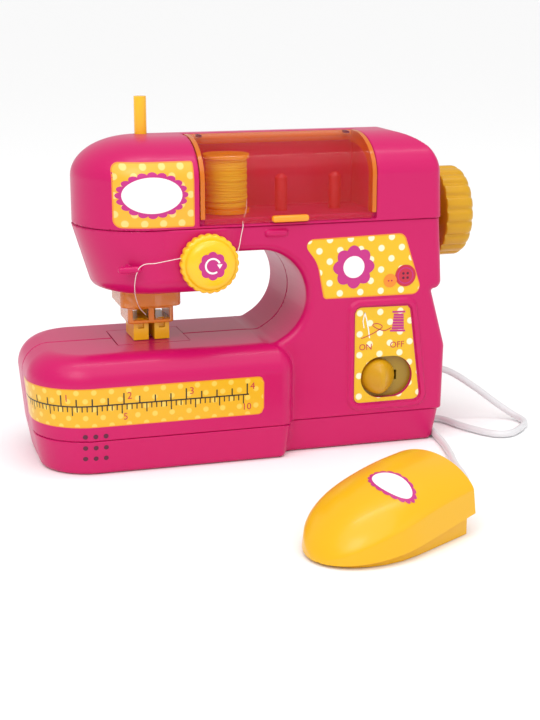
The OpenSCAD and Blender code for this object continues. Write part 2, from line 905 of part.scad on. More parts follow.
module cell_walls() {
    difference() {
        block(door_x0 - cell_wall, door_x0 + door_len + cell_wall, -door_half - cell_wall,
            door_half + cell_wall,
            0, pan_floor + cell_wall_h);
        block(door_x0, door_x0 + door_len, -door_half, door_half, -over, pan_floor + cell_wall_h + over);
    }
}

module board_places() {
    for (x = [post_inset, board_w - post_inset], s = [-1, 1])
        translate([board_x + x, s * (board_d / 2 - post_inset), 0])
            children();
}

module base_pan() {
    color("mediumvioletred")
        difference() {
            union() {
                difference() {
                    pan_tray();
                    block(door_x0, door_x0 + door_len, -door_half, door_half, -over, pan_floor + over);
                }
                cell_walls();
                board_places()
                    cylinder(h = board_z, r = post_r);
                for (p = pan_boss_places, s = [-1, 1])
                    rod_z(0, pan_h, p[0], s * p[1], pan_boss_r + over);
                block(speaker_x - cradle_w / 2, speaker_x + cradle_w / 2, speaker_y, speaker_y + cradle_t,
                    0, speaker_z - speaker_r + over);
            }
            for (p = pan_boss_places, s = [-1, 1]) {
                rod_z(-over, pan_h + over, p[0], s * p[1], screw_r + seat);
                rod_z(-over, pan_h + screw_reach - screw_len, p[0], s * p[1], screw_head_r + seat);
            }
            rod_y(speaker_y - over, speaker_y + cradle_t + over, speaker_x, speaker_z, speaker_r + seat);
            sound_holes();
        }
}

// Top cover

function crown_drop(z) = z <= crown_z ? 0 : 1 - sqrt(max(0, 1 - pow((z - crown_z) / crown_h, 2)));
function cover_half(z) = half_cover - crown_d * crown_drop(z);
function cover_end(z) = cover_right - cover_lean * (z - seam_z) / (top_z - seam_z) - dome_r * crown_drop(z);

function cover_ring(z) =
    let (h = cover_half(z), e = cover_end(z), r = min(h - tiny, cover_corner_r + (half_cover - h) / 2))
    let (l = cover_left - half_cover + h)
    concat(
        [for (i = [0:2 * arc_steps]) let (a = 90 + 180 * i / (2 * arc_steps))
            [needle_x + l * cos(a), h * sin(a)]],
        [for (i = [0:turn_steps]) let (a = 270 + 90 * i / turn_steps) [e + r * (cos(a) - 1),
            -h + r * (1 + sin(a))]],
        [for (i = [0:turn_steps]) let (a = 90 * i / turn_steps) [e + r * (cos(a) - 1),
            h + r * (sin(a) - 1)]]);

module cover_solid() {
    rounds = [for (i = [1:crown_steps]) crown_z + crown_h * sin(90 * i / crown_steps)];
    skin([for (z = concat([seam_z, crown_z], rounds)) level(cover_ring(z), z)]);
}

module cover_hollow() {
    in = half_cover - wall;
    low = crown_z - over;
    mid = crown_z + crown_h / 2;
    // Over the crank and the needle bar
    intersection() {
        union() {
            rod_z(seam_z - over, low, needle_x, 0, in);
            rod_z(seam_z - over, mid, needle_x, 0, in * dial_dome_share);
        }
        block(-reach, needle_x + in, -in, in, 0, top_z);
    }
    block(needle_x, bay_left - bay_wall, -in, in, seam_z - over, low);
    // Behind the spool bay
    block(needle_x, cover_end(low) - 2 * wall, bay_back + bay_wall, in, seam_z - over, low);
    // Over the gears
    block(bay_right + bay_wall, cover_end(low) - 2 * wall, -in, in, seam_z - over, low);
    // Under the bay's floor
    block(needle_x, bay_right + bay_wall + over, -in, in, seam_z - over, bay_floor - bay_slab);
}

module top_cover() {
    color("deeppink")
        difference() {
            cover_solid();
            cover_hollow();
            block(bay_left, bay_right, -reach, bay_back, bay_floor, top_z + over);
            block(bay_left, bay_right, -reach, -half_cover + lid_t + gap, seam_z + bay_lip, top_z + over);
            rod_x(bush_x - over, reach, 0, shaft_z, bush_r + seat);
            rod_x(bay_left - bay_wall, bay_right + bay_wall, lid_y, lid_z, lid_pin_r + seat);
            rod_z(crown_z, top_z + over, needle_x, presser_y, presser_bar_r + run);
        }
}

module thread_pegs() {
    color("mediumvioletred")
        for (i = [0:2]) {
            top = i == 0 ? peg_spigot : peg_h;
            translate([spool_x + i * peg_pitch, spool_y, bay_floor]) {
                cylinder(h = top - peg_r / 2, r = peg_r);
                translate([0, 0, top - peg_r / 2])
                    cylinder(h = peg_r / 2, r1 = peg_r, r2 = peg_r / 2);
            }
        }
}

// Spool lid

// Half of the cover's section from the lid's lower edge up to the hinge, moved in by d
function lid_line(d, low) = concat(
    [[-half_cover + d, low]],
    [for (i = [0:lid_steps]) let (a = 90 * i / lid_steps)
        [-half_cover + crown_d - (crown_d - d) * cos(a), crown_z + (crown_h - d) * sin(a)]],
    [[lid_y, top_z - d]]);

module lid_band(t, x0, x1, low) {
    outer = lid_line(0, low);
    inner = lid_line(t, low);
    along_x(x0)
        linear_extrude(x1 - x0)
            polygon(concat(outer, [for (i = [len(inner) - 1:-1:0]) inner[i]]));
}

module spool_lid() {
    color("orange", 0.6)
        difference() {
            union() {
                lid_band(lid_t, lid_left, lid_right, lid_low);
                lid_band(lid_rib, lid_left, lid_left + lid_t, bay_floor + gap);
                lid_band(lid_rib, lid_right - lid_t, lid_right, bay_floor + gap);
                rod_x(lid_left, lid_right, lid_y, lid_z, barrel_r);
                block(tab_x - tab_len / 2, tab_x + tab_len / 2, -half_cover - tab_out,
                    -half_cover + lid_t / 2,
                    lid_low, lid_low + tab_h);
            }
            rod_x(lid_left - over, lid_left + lid_pin_len + gap, lid_y, lid_z, lid_pin_r + run);
            rod_x(lid_right - lid_pin_len - gap, lid_right + over, lid_y, lid_z, lid_pin_r + run);
            for (x = [lid_left + lid_slot_inset, lid_right - lid_slot_inset - lid_slot_len])
                block(x, x + lid_slot_len, lid_y - barrel_r - lid_slot_w - over, lid_y - barrel_r - over,
                    top_z - lid_rib, top_z + over);
        }
}

module lid_pins() {
    color("silver") {
        rod_x(bay_left - bay_wall, lid_left + lid_pin_len, lid_y, lid_z, lid_pin_r);
        rod_x(lid_right - lid_pin_len, bay_right + bay_wall, lid_y, lid_z, lid_pin_r);
    }
}

// Spool and its thread

module thread_spool() {
    waist = spool_core_r;
    color("khaki")
        translate([spool_x, spool_y, spool_z])
            rotate_extrude()
                difference() {
                    union() {
                        square([waist, spool_h]);
                        square([spool_r, spool_flange]);
                        translate([0, spool_h - spool_flange])
                            square([spool_r, spool_flange]);
                    }
                    translate([0, -over])
                        square([peg_r + run, spool_h + 2 * over]);
                }
}

winding_pitch = winding_rise / thread_turns;
winding_count = thread_turns * winding_rings;
// Points along the thread's middle, with a straight end of one diameter at each end
winding_turns = [for (i = [0:winding_count]) let (a = 360 * i / winding_rings)
    [winding_r * cos(a), winding_r * sin(a), winding_pitch * i / winding_rings]];
winding_path = concat([winding_turns[0] - [0, thread_d, 0]], winding_turns,
    [winding_turns[winding_count] + [0, thread_d, 0]]);
winding_gap = min([for (i = [0:winding_count - winding_rings])
    norm(winding_turns[i + winding_rings] - winding_turns[i])]) - thread_d;
echo(least_gap_between_turns = winding_gap);

// A tube along a path: each ring stands square to the path
function path_way(path, i) = unit(path[min(i + 1, len(path) - 1)] - path[max(i - 1, 0)]);
function path_ring(path, i, r, n) =
    let (w = path_way(path, i), s = unit(cross([0, 0, 1], w)), t = cross(w, s))
    [for (k = [0:n - 1]) path[i] + r * (cos(360 * (k + 0.5) / n) * s + sin(360 * (k + 0.5) / n) * t)];
module tube(path, r, n) {
    skin([for (i = [0:len(path) - 1]) path_ring(path, i, r, n)]);
}

module thread_winding() {
    color("gold")
        translate([spool_x, spool_y, winding_z0])
            tube(winding_path, thread_d / 2, winding_sides);
}

// Tension dial

module tension_dial() {
    color("gold")
        difference() {
            union() {
                translate([dial_x, dial_back, dial_z])
                    rotate([90, 0, 0])
                        rotate_extrude()
                            dial_section();
                for (i = [0:dial_lobes - 1])
                    rod_y(dial_back - dial_rim, dial_back,
                        dial_x + (dial_r - dial_lobe_r) * cos(360 * i / dial_lobes),
                        dial_z + (dial_r - dial_lobe_r) * sin(360 * i / dial_lobes), dial_lobe_r);
                rod_y(dial_back - over, -half_head + head_wall + 2 * over + clip_back + clip_t,
                    dial_x, dial_z, stem_r);
            }
        }
}

module dial_section() {
    dome = dial_h - dial_rim;
    face = dial_r * dial_dome_share;
    polygon(concat([[0, 0], [dial_r - dial_lobe_r, 0], [dial_r - dial_lobe_r, dial_rim]],
        [for (i = [1:turn_steps]) let (a = 90 * i / turn_steps)
            [face + (dial_r - dial_lobe_r - face) * cos(a), dial_rim + dome * sin(a)]],
        [[0, dial_h]]));
}

module dial_clip() {
    y = -half_head + head_wall + gap;
    color("silver")
        difference() {
            union() {
                rod_y(y, y + clip_back + clip_t, dial_x, dial_z, stem_r + clip_hub_t);
                rod_y(y + clip_back, y + clip_back + clip_t, dial_x, dial_z, clip_r);
            }
            rod_y(y - over, y + clip_back + clip_t + over, dial_x, dial_z, stem_r + seat);
        }
}

// Needle, presser and guard

module needle_plate() {
    color("silver")
        difference() {
            block(needle_x - plate_w / 2, needle_x + plate_w / 2, -plate_d / 2, plate_d / 2,
                bed_top - plate_t, bed_top);
            rod_z(bed_top - plate_t - over, bed_top + over, needle_x, needle_y, plate_hole_r);
        }
}

module bar_guide() {
    color("white")
        difference() {
            union() {
                block(needle_x - guide_w / 2, needle_x + guide_w / 2, guide_y0, guide_y1, head_z,
                    head_z + guide_h);
                block(needle_x - guide_w / 2 - guide_flange, needle_x + guide_w / 2 + guide_flange,
                    guide_y0, guide_y1,
                    head_z + wall, head_z + wall + guide_flange_t);
            }
            rod_z(head_z - over, head_z + guide_h + over, needle_x, needle_y, needle_bar_r + run);
            rod_z(head_z - over, head_z + guide_h + over, needle_x, presser_y, presser_bar_r + run);
        }
}

module needle_bar() {
    color("silver")
        rod_z(clamp_z, bar_top, needle_x, needle_y, needle_bar_r);
}

module needle_yoke() {
    slot = crank_pin_r + gap;
    slide = crank_throw + crank_pin_r + gap;
    color("white")
        difference() {
            union() {
                block(yoke_x, yoke_x + yoke_t, -yoke_w / 2, yoke_w / 2, yoke_z - yoke_h / 2,
                    yoke_z + yoke_h / 2);
                rod_z(yoke_z - yoke_h / 2, yoke_z + yoke_h / 2, needle_x, needle_y, yoke_hub_r);
            }
            block(yoke_x - over, yoke_x + yoke_t + over, -slide, slide, yoke_z - slot, yoke_z + slot);
            rod_z(yoke_z - yoke_h, yoke_z + yoke_h, needle_x, needle_y, needle_bar_r + seat);
        }
}

module needle_clamp() {
    color("silver")
        difference() {
            union() {
                rod_z(clamp_z, clamp_z + clamp_h, needle_x, needle_y, clamp_r);
                rod_y(needle_y - clamp_r - clamp_screw_len, needle_y - needle_bar_r - over, needle_x,
                    clamp_z + clamp_h / 2, clamp_screw_r);
            }
            rod_z(clamp_z - over, clamp_z + clamp_h + over, needle_x, needle_y, needle_bar_r + seat);
        }
}

module needle() {
    color("lightgray")
        translate([needle_x, needle_y, needle_low]) {
            translate([0, 0, needle_tip])
                cylinder(h = clamp_z - needle_low - needle_tip, r = needle_r);
            cylinder(h = needle_tip, r1 = needle_r / 4, r2 = needle_r);
        }
}

module presser_bar() {
    color("gold")
        rod_z(foot_z + toe_h + foot_bridge, post_z, needle_x, presser_y, presser_bar_r);
}

module presser_foot() {
    x0 = needle_x - foot_w / 2;
    x1 = needle_x + foot_w / 2;
    toe_w = (foot_w - toe_gap) / 2;
    color("gold")
        difference() {
            union() {
                block(x0, x1, foot_front, foot_front + foot_d, foot_z, foot_z + toe_h);
                block(needle_x - shank_w / 2, needle_x + shank_w / 2, shank_front, shank_back,
                    foot_z, shank_top);
            }
            block(needle_x - toe_gap / 2, needle_x + toe_gap / 2, foot_front - over, shank_front,
                foot_z - over,
                foot_z + toe_h + over);
            for (x = [x0 + toe_w / 2, x1 - toe_w / 2])
                block(x - toe_notch_w / 2, x + toe_notch_w / 2, foot_front - over, foot_front + toe_notch_d,
                    foot_z + toe_h - toe_notch_h, foot_z + toe_h + over);
            rod_z(foot_z + toe_h + foot_bridge, shank_top + over, needle_x, presser_y,
                presser_bar_r + seat);
        }
}

function guard_outline(d) =
    let (x0 = guard_x - guard_w / 2, x1 = guard_x + guard_w / 2, y1 = guard_y0 + guard_d)
    let (pts = [[x0, guard_y0], [x1, guard_y0], [x1, y1], [x0, y1]], radii = [guard_r, guard_r,
        guard_r, guard_r])
    rounded(inset(pts, d), inset_radii(pts, radii, d), [turn_steps, turn_steps, turn_steps, turn_steps]);

module needle_guard() {
    low_x0 = guard_x - guard_w / 2 + guard_step;
    low_x1 = guard_x + guard_w / 2 - guard_step;
    middle = (low_x0 + low_x1) / 2;
    color("orange", 0.6)
        difference() {
            union() {
                translate([0, 0, guard_step_z])
                    linear_extrude(head_z - guard_step_z)
                        polygon(guard_outline(0));
                translate([0, 0, guard_z])
                    linear_extrude(guard_step_z - guard_z + over)
                        polygon(guard_outline(guard_step));
            }
            translate([0, 0, guard_step_z + guard_t])
                linear_extrude(head_z)
                    polygon(guard_outline(guard_t));
            translate([0, 0, guard_z - over])
                linear_extrude(head_z)
                    polygon(guard_outline(guard_step + guard_t));
            // Open at the back below the collar, with two windows in front
            block(-reach, reach, guard_y0 + guard_d - guard_r - guard_step, reach, guard_z - over,
                guard_step_z);
            for (x = [[low_x0 + guard_t + window_side, middle - window_post / 2],
                      [middle + window_post / 2, low_x1 - guard_t - window_side]])
                block(x[0], x[1], guard_y0 - over, guard_y0 + guard_step + guard_t + over,
                    guard_z + window_low,
                    guard_step_z - window_high);
        }
}

// Main shaft, handwheel and gears

module main_shaft() {
    color("silver")
        rod_x(crank_x + over, shaft_end, 0, shaft_z, shaft_r);
}

module shaft_bushes() {
    color("white")
        for (x = [[web_x, web_x + web_t], [bush_x, bush_x + bush_len]])
            difference() {
                rod_x(x[0], x[1], 0, shaft_z, bush_r);
                rod_x(x[0] - over, x[1] + over, 0, shaft_z, shaft_r + run);
            }
}

module crank_disc() {
    color("white")
        difference() {
            union() {
                rod_x(crank_x, crank_x + crank_t, 0, shaft_z, crank_r);
                rod_x(crank_x - crank_pin_len, crank_x + over, 0, shaft_z + crank_throw, crank_pin_r);
            }
            rod_x(crank_x + over, crank_x + crank_t + over, 0, shaft_z, shaft_r + seat);
        }
}

module wheel_section() {
    difference() {
        union() {
            translate([0, -wheel_x + cover_right + wheel_gap])
                square([wheel_hub_r, wheel_x - cover_right]);
            square([wheel_r, wheel_w - wheel_edge_r]);
            square([wheel_r - wheel_edge_r, wheel_w]);
            translate([wheel_r - wheel_edge_r, wheel_w - wheel_edge_r])
                circle(wheel_edge_r);
        }
        translate([-over, wheel_w - wheel_dish])
            square([wheel_boss_r + over, wheel_dish + over]);
    }
}

module handwheel() {
    color("gold")
        difference() {
            along_x(wheel_x)
                translate([0, shaft_z, 0])
                    rotate_extrude()
                        wheel_section();
            for (i = [0:wheel_grooves - 1])
                rod_x(wheel_x - over, wheel_x + wheel_w + over, wheel_r * cos(360 * i / wheel_grooves),
                    shaft_z + wheel_r * sin(360 * i / wheel_grooves), wheel_groove_r);
            rod_x(cover_right - over, shaft_end + seat, 0, shaft_z, shaft_r + seat);
        }
}

// Involute tooth: the angle of a flank at radius r, measured from the tooth's middle
function involute(a) = tan(a) * 180 / PI - a;
function flank(n, r) =
    let (rp = gear_m * n / 2, rb = rp * cos(pressure), a = acos(min(1, rb / r)))
    360 * tooth_share / (2 * n) + involute(pressure) - involute(a);

function gear_points(n, turned) =
    let (rp = gear_m * n / 2, r0 = rp - dedendum_share * gear_m, r1 = rp + addendum_share * gear_m)
    let (rb = max(r0 + tiny, rp * cos(pressure)))
    [for (i = [0:n - 1]) let (m = turned + 360 * i / n)
        each concat(
            [[r0 * cos(m - flank(n, rb)), r0 * sin(m - flank(n, rb))]],
            [for (k = [0:flank_steps]) let (r = rb + (r1 - rb) * k / flank_steps, a = m - flank(n, r))
                [r * cos(a), r * sin(a)]],
            [for (k = [flank_steps:-1:0]) let (r = rb + (r1 - rb) * k / flank_steps, a = m + flank(n, r))
                [r * cos(a), r * sin(a)]],
            [[r0 * cos(m + flank(n, rb)), r0 * sin(m + flank(n, rb))]])];

module gear(n, turned, x0, x1, z) {
    along_x(x0)
        translate([0, z, 0])
            linear_extrude(x1 - x0)
                polygon(gear_points(n, turned));
}

// A tooth of the upper gear points down, and a gap of the lower one points up
module drive_gear() {
    color("white")
        difference() {
            gear(drive_teeth, -90, drive_x, drive_x + gear_w, shaft_z);
            rod_x(drive_x - over, drive_x + gear_w + over, 0, shaft_z, shaft_r + seat);
        }
}

module idler_gear() {
    color("khaki")
        difference() {
            union() {
                gear(idler_teeth, -90, idler_x, idler_x + gear_w, idler_z);
                gear(pinion_teeth, 90 + 180 / pinion_teeth, idler_x + gear_w - tiny,
                    drive_x + gear_w + over, idler_z);
            }
            rod_x(idler_x - over, drive_x + gear_w + 2 * over, 0, idler_z, idler_pin_r + run);
        }
}

module motor_pinion() {
    color("silver")
        union() {
            gear(pinion_teeth, 90 + 180 / pinion_teeth, idler_x - gap, idler_x + gear_w + gap, motor_z);
            rod_x(frame_x0 - motor_shaft_in, idler_x + gear_w, 0, motor_z, motor_shaft_r);
        }
}

module idler_pin() {
    color("silver")
        rod_x(frame_x0, frame_x1 + frame_t, 0, idler_z, idler_pin_r);
}

module gear_frame() {
    color("white")
        difference() {
            union() {
                block(frame_x0, frame_x0 + frame_t, -frame_half, frame_back, frame_low, frame_high);
                block(frame_x1, frame_x1 + frame_t, -motor_r, frame_back, idler_z - boss_r, frame_high);
                block(frame_x0, frame_x1 + frame_t, frame_back - frame_t, frame_back, idler_z - boss_r,
                    idler_z + 2 * boss_r);
                block(frame_x0, frame_x0 + 2 * gear_bolt_inset, frame_back - frame_t, frame_back,
                    motor_z - boss_r,
                    idler_z);
            }
            rod_x(frame_x0 - over, frame_x1 + frame_t + over, 0, shaft_z, shaft_r + run);
            rod_x(frame_x0 - over, frame_x1 + frame_t + over, 0, idler_z, idler_pin_r + seat);
            rod_x(frame_x0 - over, frame_x0 + frame_t + over, 0, motor_z, motor_boss_r + seat);
        }
}

module motor() {
    color("lightgray")
        difference() {
            union() {
                intersection() {
                    rod_x(frame_x0 - motor_len, frame_x0, 0, motor_z, motor_r);
                    block(frame_x0 - motor_len, frame_x0, -motor_flat, motor_flat,
                        motor_z - motor_r, motor_z + motor_r);
                }
                rod_x(frame_x0 - over, frame_x0 + motor_boss_len, 0, motor_z, motor_boss_r);
            }
            rod_x(frame_x0 - motor_shaft_in - gap, frame_x0 + motor_boss_len + over, 0, motor_z,
                motor_shaft_r + run);
        }
}

// Power, sound and switch

module battery_door() {
    color("mediumvioletred")
        difference() {
            block(door_x0 + seat, door_x0 + door_len - seat, -door_half + seat, door_half - seat, 0,
                pan_floor);
            for (i = [0:4])
                block(door_x0 + door_len - (i + 2) * door_rib_pitch,
                    door_x0 + door_len - (i + 2) * door_rib_pitch + over,
                    -door_half / 3, door_half / 3, -over, pan_floor / 3);
        }
}

module cell_rows() {
    for (i = [0:cell_count - 1])
        translate([0, (i - (cell_count - 1) / 2) * cell_pitch, cell_z])
            children();
}

module batteries() {
    color("dimgray")
        cell_rows()
            union() {
                rod_x(cell_x, cell_x + cell_len - cell_tip, 0, 0, cell_r);
                rod_x(cell_x + cell_len - 2 * cell_tip, cell_x + cell_len, 0, 0, cell_tip_r);
            }
}

module battery_contacts() {
    end = door_x0 + door_len;
    color("silver")
        cell_rows() {
            union() {
                block(door_x0, door_x0 + contact_t, -contact_r, contact_r, -contact_r, contact_r);
                rod_x(door_x0, cell_x, 0, 0, contact_r - over);
            }
            union() {
                block(end - contact_t, end, -contact_r, contact_r, -contact_r, contact_r);
                rod_x(cell_x + cell_len, end, 0, 0, contact_r - over);
            }
        }
}

module circuit_board() {
    color("seagreen")
        union() {
            block(board_x, board_x + board_w, -board_d / 2, board_d / 2, board_z, board_z + board_t);
            block(board_x + board_w / 2, board_x + board_w / 2 + chip_w, -chip_w / 2, chip_w / 2, board_z,
                board_z + board_t + chip_h);
            rod_z(board_z, board_z + board_t + cap_h, board_x + chip_w, board_d / 4, cap_r);
        }
}

module speaker() {
    color("dimgray")
        union() {
            rod_y(speaker_y - over, speaker_y + speaker_t - over, speaker_x, speaker_z, speaker_r);
            rod_y(speaker_y, speaker_y + speaker_t + speaker_magnet_t, speaker_x, speaker_z,
                speaker_magnet_r);
        }
}

module switch_plate() {
    slot = switch_stem_r + gap;
    color("orange")
        difference() {
            block(switch_x - switch_open_r - switch_open_span / 2 - plate_edge,
                switch_x + switch_open_r + switch_open_span / 2 + plate_edge, switch_front,
                    switch_front + switch_plate_t,
                switch_z - switch_open_r - plate_edge, switch_z + switch_open_r + plate_edge);
            block(knob_x - slot, knob_x + knob_travel + slot, switch_front - over,
                switch_front + switch_plate_t + over,
                switch_z - slot, switch_z + slot);
        }
}

module slide_switch() {
    back = switch_front + switch_plate_t;
    slot = switch_stem_r + gap;
    color("dimgray")
        difference() {
            block(switch_x - switch_body_w / 2, switch_x + switch_body_w / 2, back, back + switch_body_d,
                switch_z - switch_body_h / 2, switch_z + switch_body_h / 2);
            block(knob_x - slot, knob_x + knob_travel + slot, back - over, back + switch_stem_len,
                switch_z - slot,
                switch_z + slot);
        }
}

module switch_knob() {
    front = switch_front - gap;
    color("gold")
        union() {
            translate([knob_x, front, switch_z])
                rotate([90, 0, 0])
                    rotate_extrude()
                        intersection() {
                            translate([0, knob_h - (knob_r * knob_r + knob_h * knob_h) / (2 * knob_h)])
                                circle((knob_r * knob_r + knob_h * knob_h) / (2 * knob_h), $fn = 96);
                            square([knob_r, knob_h]);
                        }
            block(knob_x - ridge_w / 2, knob_x + ridge_w / 2, front - knob_h - ridge_h, front - ridge_h,
                switch_z - knob_r * dial_dome_share, switch_z + knob_r * dial_dome_share);
            rod_y(front - over, front + gap + switch_plate_t + switch_stem_len - gap, knob_x,
                switch_z, switch_stem_r);
        }
}

// Fasteners

module screw(len) {
    cylinder(h = len, r = screw_r);
    translate([0, 0, len - screw_head_h])
        cylinder(h = screw_head_h, r = screw_head_r);
}

module casing_screws() {
    color("silver")
        for (p = boss_places)
            translate([p[0], screw_len - screw_reach + screw_head_h - screw_len, p[1]])
                rotate([-90, 0, 0])
                    screw(screw_len);
}

module pan_screws() {
    color("silver")
        for (p = pan_boss_places, s = [-1, 1])
            translate([p[0], s * p[1], pan_h + screw_reach - screw_head_h])
                rotate([180, 0, 0])
                    screw(screw_len);
}

// Cord

module cord_gland() {
    color("white")
        difference() {
            union() {
                rod_x(col_right - 2 * wall, col_right + wall, gland_y, gland_z, gland_r);
                translate([col_right + wall, gland_y, gland_z])
                    rotate([0, 90, 0])
                        cylinder(h = gland_len - 2 * wall, r1 = gland_r, r2 = gland_tip_r);
            }
            rod_x(cord_route[0][0] - seat, reach, gland_y, gland_z, cord_d / 2 + seat);
        }
}

module cord() {
    color("white")
        tube(cord_route, cord_d / 2, cord_sides);
}

// Pedal

module at_pedal() {
    translate(pedal_at)
        rotate([0, 0, pedal_turn])
            children();
}

function pedal_half(u, d) =
    let (t = min(1, max(0, u - d) / (pedal_nose - d)))
    max(tiny, (pedal_w / 2 - d) * sqrt(1 - pow(1 - t, 2)));
function pedal_top(u, d) =
    let (t = min(1, max(0, u - d) / (pedal_rise - d)))
    pedal_seam(u) + max(tiny, (pedal_h - d - pedal_seam(u)) * pow(1 - pow(1 - t, 2), pedal_swell));
function pedal_seam(u) = pedal_skirt + (pedal_wedge - pedal_skirt) * u / pedal_len;

// Section of the cover at u, moved in by d, closed along the seam at a depth under it
function pedal_arch_ring(u, d, under) =
    let (w = pedal_half(u, d), s = pedal_seam(u), h = pedal_top(u, d) - s)
    concat([[u, w, s - under]],
        [for (i = [0:pedal_arch]) let (a = 180 * i / pedal_arch)
            [u, w * sign(cos(a)) * pow(abs(cos(a)), pedal_square), s + h * pow(sin(a), pedal_square)]],
        [[u, -w, s - under]]);

module pedal_shell(d, under, u0, u1) {
    skin([for (s = pedal_station_shares) pedal_arch_ring(u0 + (u1 - u0) * s, d, under)]);
}

module pedal_cover() {
    color("gold")
        at_pedal()
            difference() {
                union() {
                    difference() {
                        pedal_shell(0, tiny, 0, pedal_len);
                        pedal_shell(pedal_wall, 2 * over, pedal_wall, pedal_len - pedal_wall);
                    }
                    rod_z(pedal_post_z, pedal_top(pedal_post_u, pedal_wall) + tiny, pedal_post_u, 0,
                        pedal_post_r);
                }
                rod_y(-pedal_half(pedal_pin_u, 0) + over, pedal_half(pedal_pin_u, 0) - over,
                    pedal_pin_u, pedal_pin_z,
                    pedal_pin_r + run);
                block(pedal_len - 2 * pedal_wall, pedal_len + over, -2 * pedal_relief_r,
                    2 * pedal_relief_r, 0,
                    2 * pedal_relief_z + pedal_drop + gap);
            }
}

function pedal_base_ring(u, d, z0, rise) =
    let (w = pedal_half(u, pedal_wall + pedal_fit + d))
    [[u, w, z0], [u, w, pedal_seam(u) + rise], [u, -w, pedal_seam(u) + rise], [u, -w, z0]];

module pedal_wedge_solid(d, z0, rise) {
    u0 = pedal_wall + pedal_fit + d;
    u1 = pedal_len - pedal_wall - pedal_fit - d;
    skin([for (s = pedal_station_shares) pedal_base_ring(u0 + (u1 - u0) * s, d, z0, rise)]);
}

module pedal_base() {
    ear = pedal_half(pedal_pin_u - pedal_ear_r, pedal_wall + pedal_fit);
    color("goldenrod")
        at_pedal()
            difference() {
                union() {
                    difference() {
                        pedal_wedge_solid(0, 0, pedal_lap);
                        pedal_wedge_solid(pedal_wall, pedal_floor, pedal_lap + over);
                    }
                    for (s = [-1, 1])
                        translate([0, s * (ear - pedal_ear_t / 2), 0]) {
                            rod_y(-pedal_ear_t / 2, pedal_ear_t / 2, pedal_pin_u, pedal_pin_z, pedal_ear_r);
                            block(pedal_pin_u - pedal_ear_r, pedal_pin_u + pedal_ear_r,
                                -pedal_ear_t / 2, pedal_ear_t / 2,
                                over, pedal_pin_z);
                        }
                }
                rod_y(-pedal_w, pedal_w, pedal_pin_u, pedal_pin_z, pedal_pin_r + seat);
                rod_x(pedal_len - 4 * pedal_wall, pedal_len, 0, pedal_relief_z, pedal_relief_r + seat);
            }
}

module pedal_pin() {
    half = pedal_half(pedal_pin_u, 0) - over - gap;
    color("silver")
        at_pedal()
            rod_y(-half, half, pedal_pin_u, pedal_pin_z, pedal_pin_r);
}

module pedal_switch() {
    color("dimgray")
        at_pedal()
            union() {
                block(pedal_post_u - pedal_switch_w / 2, pedal_post_u + pedal_switch_w / 2,
                    -pedal_switch_w / 2,
                    pedal_switch_w / 2, pedal_floor, pedal_floor + pedal_switch_h);
                rod_z(pedal_floor + over, pedal_floor + pedal_switch_h + plunger_h, pedal_post_u, 0,
                    plunger_r);
            }
}

module pedal_gland() {
    color("white")
        at_pedal()
            difference() {
                rod_x(pedal_len - 2 * pedal_wall - pedal_fit,
                    pedal_len + pedal_relief_len - 2 * pedal_wall, 0,
                    pedal_relief_z, pedal_relief_r);
                rod_x(pedal_len, pedal_len + pedal_relief_len, 0, pedal_relief_z, cord_d / 2 + seat);
            }
}

base_pan();
front_casing();
rear_casing();
top_cover();
thread_pegs();
lid_pins();
needle_guard();
needle_plate();
bar_guide();
shaft_bushes();
gear_frame();
idler_pin();
motor();
battery_door();
batteries();
battery_contacts();
circuit_board();
speaker();
switch_plate();
slide_switch();
cord_gland();
cord();
casing_screws();
pan_screws();
pedal_base();
pedal_pin();
pedal_switch();
pedal_gland();
handwheel();
main_shaft();
drive_gear();
crank_disc();
idler_gear();
motor_pinion();
needle_bar();
needle_yoke();
needle_clamp();
needle();
presser_bar();
presser_foot();
spool_lid();
thread_spool();
thread_winding();
tension_dial();
dial_clip();
switch_knob();
pedal_cover();
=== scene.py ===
# %% [markdown]
# A toy sewing machine, dressed for a picture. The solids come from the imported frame,
# and this script lays smooth moulded skins, stickers, thread and light over them.

import math

import bpy
import numpy as np
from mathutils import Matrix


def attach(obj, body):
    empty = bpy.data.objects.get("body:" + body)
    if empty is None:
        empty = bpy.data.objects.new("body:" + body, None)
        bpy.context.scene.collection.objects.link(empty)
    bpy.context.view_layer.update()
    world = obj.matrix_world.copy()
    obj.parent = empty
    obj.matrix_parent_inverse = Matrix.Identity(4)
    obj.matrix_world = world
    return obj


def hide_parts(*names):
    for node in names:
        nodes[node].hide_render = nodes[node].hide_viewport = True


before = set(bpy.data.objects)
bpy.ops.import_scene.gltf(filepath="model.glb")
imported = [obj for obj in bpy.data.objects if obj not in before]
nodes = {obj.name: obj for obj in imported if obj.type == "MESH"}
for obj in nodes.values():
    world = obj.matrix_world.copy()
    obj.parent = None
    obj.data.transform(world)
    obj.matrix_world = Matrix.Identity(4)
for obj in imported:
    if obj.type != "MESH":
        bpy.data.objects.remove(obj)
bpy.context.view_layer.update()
print("frame:", len(nodes), "nodes")

MM = 0.001


# %% [markdown]
# Camera and cord come first. The camera stands where the photograph was taken,
# and the cord follows the route of its solid from the casing to the pedal.

# %% Camera and cord
CAMERA_AT, CAMERA_PITCH, CAMERA_YAW = (-0.15335, -0.58214, 0.18937), 75.6, -16.5
LENS, SENSOR = 72.35, 36

cam = bpy.data.objects.new("camera", bpy.data.cameras.new("camera"))
cam.location = CAMERA_AT
cam.rotation_euler = (math.radians(CAMERA_PITCH), 0, math.radians(CAMERA_YAW))
cam.data.lens = LENS
cam.data.sensor_width = SENSOR
bpy.context.collection.objects.link(cam)
bpy.context.scene.camera = cam

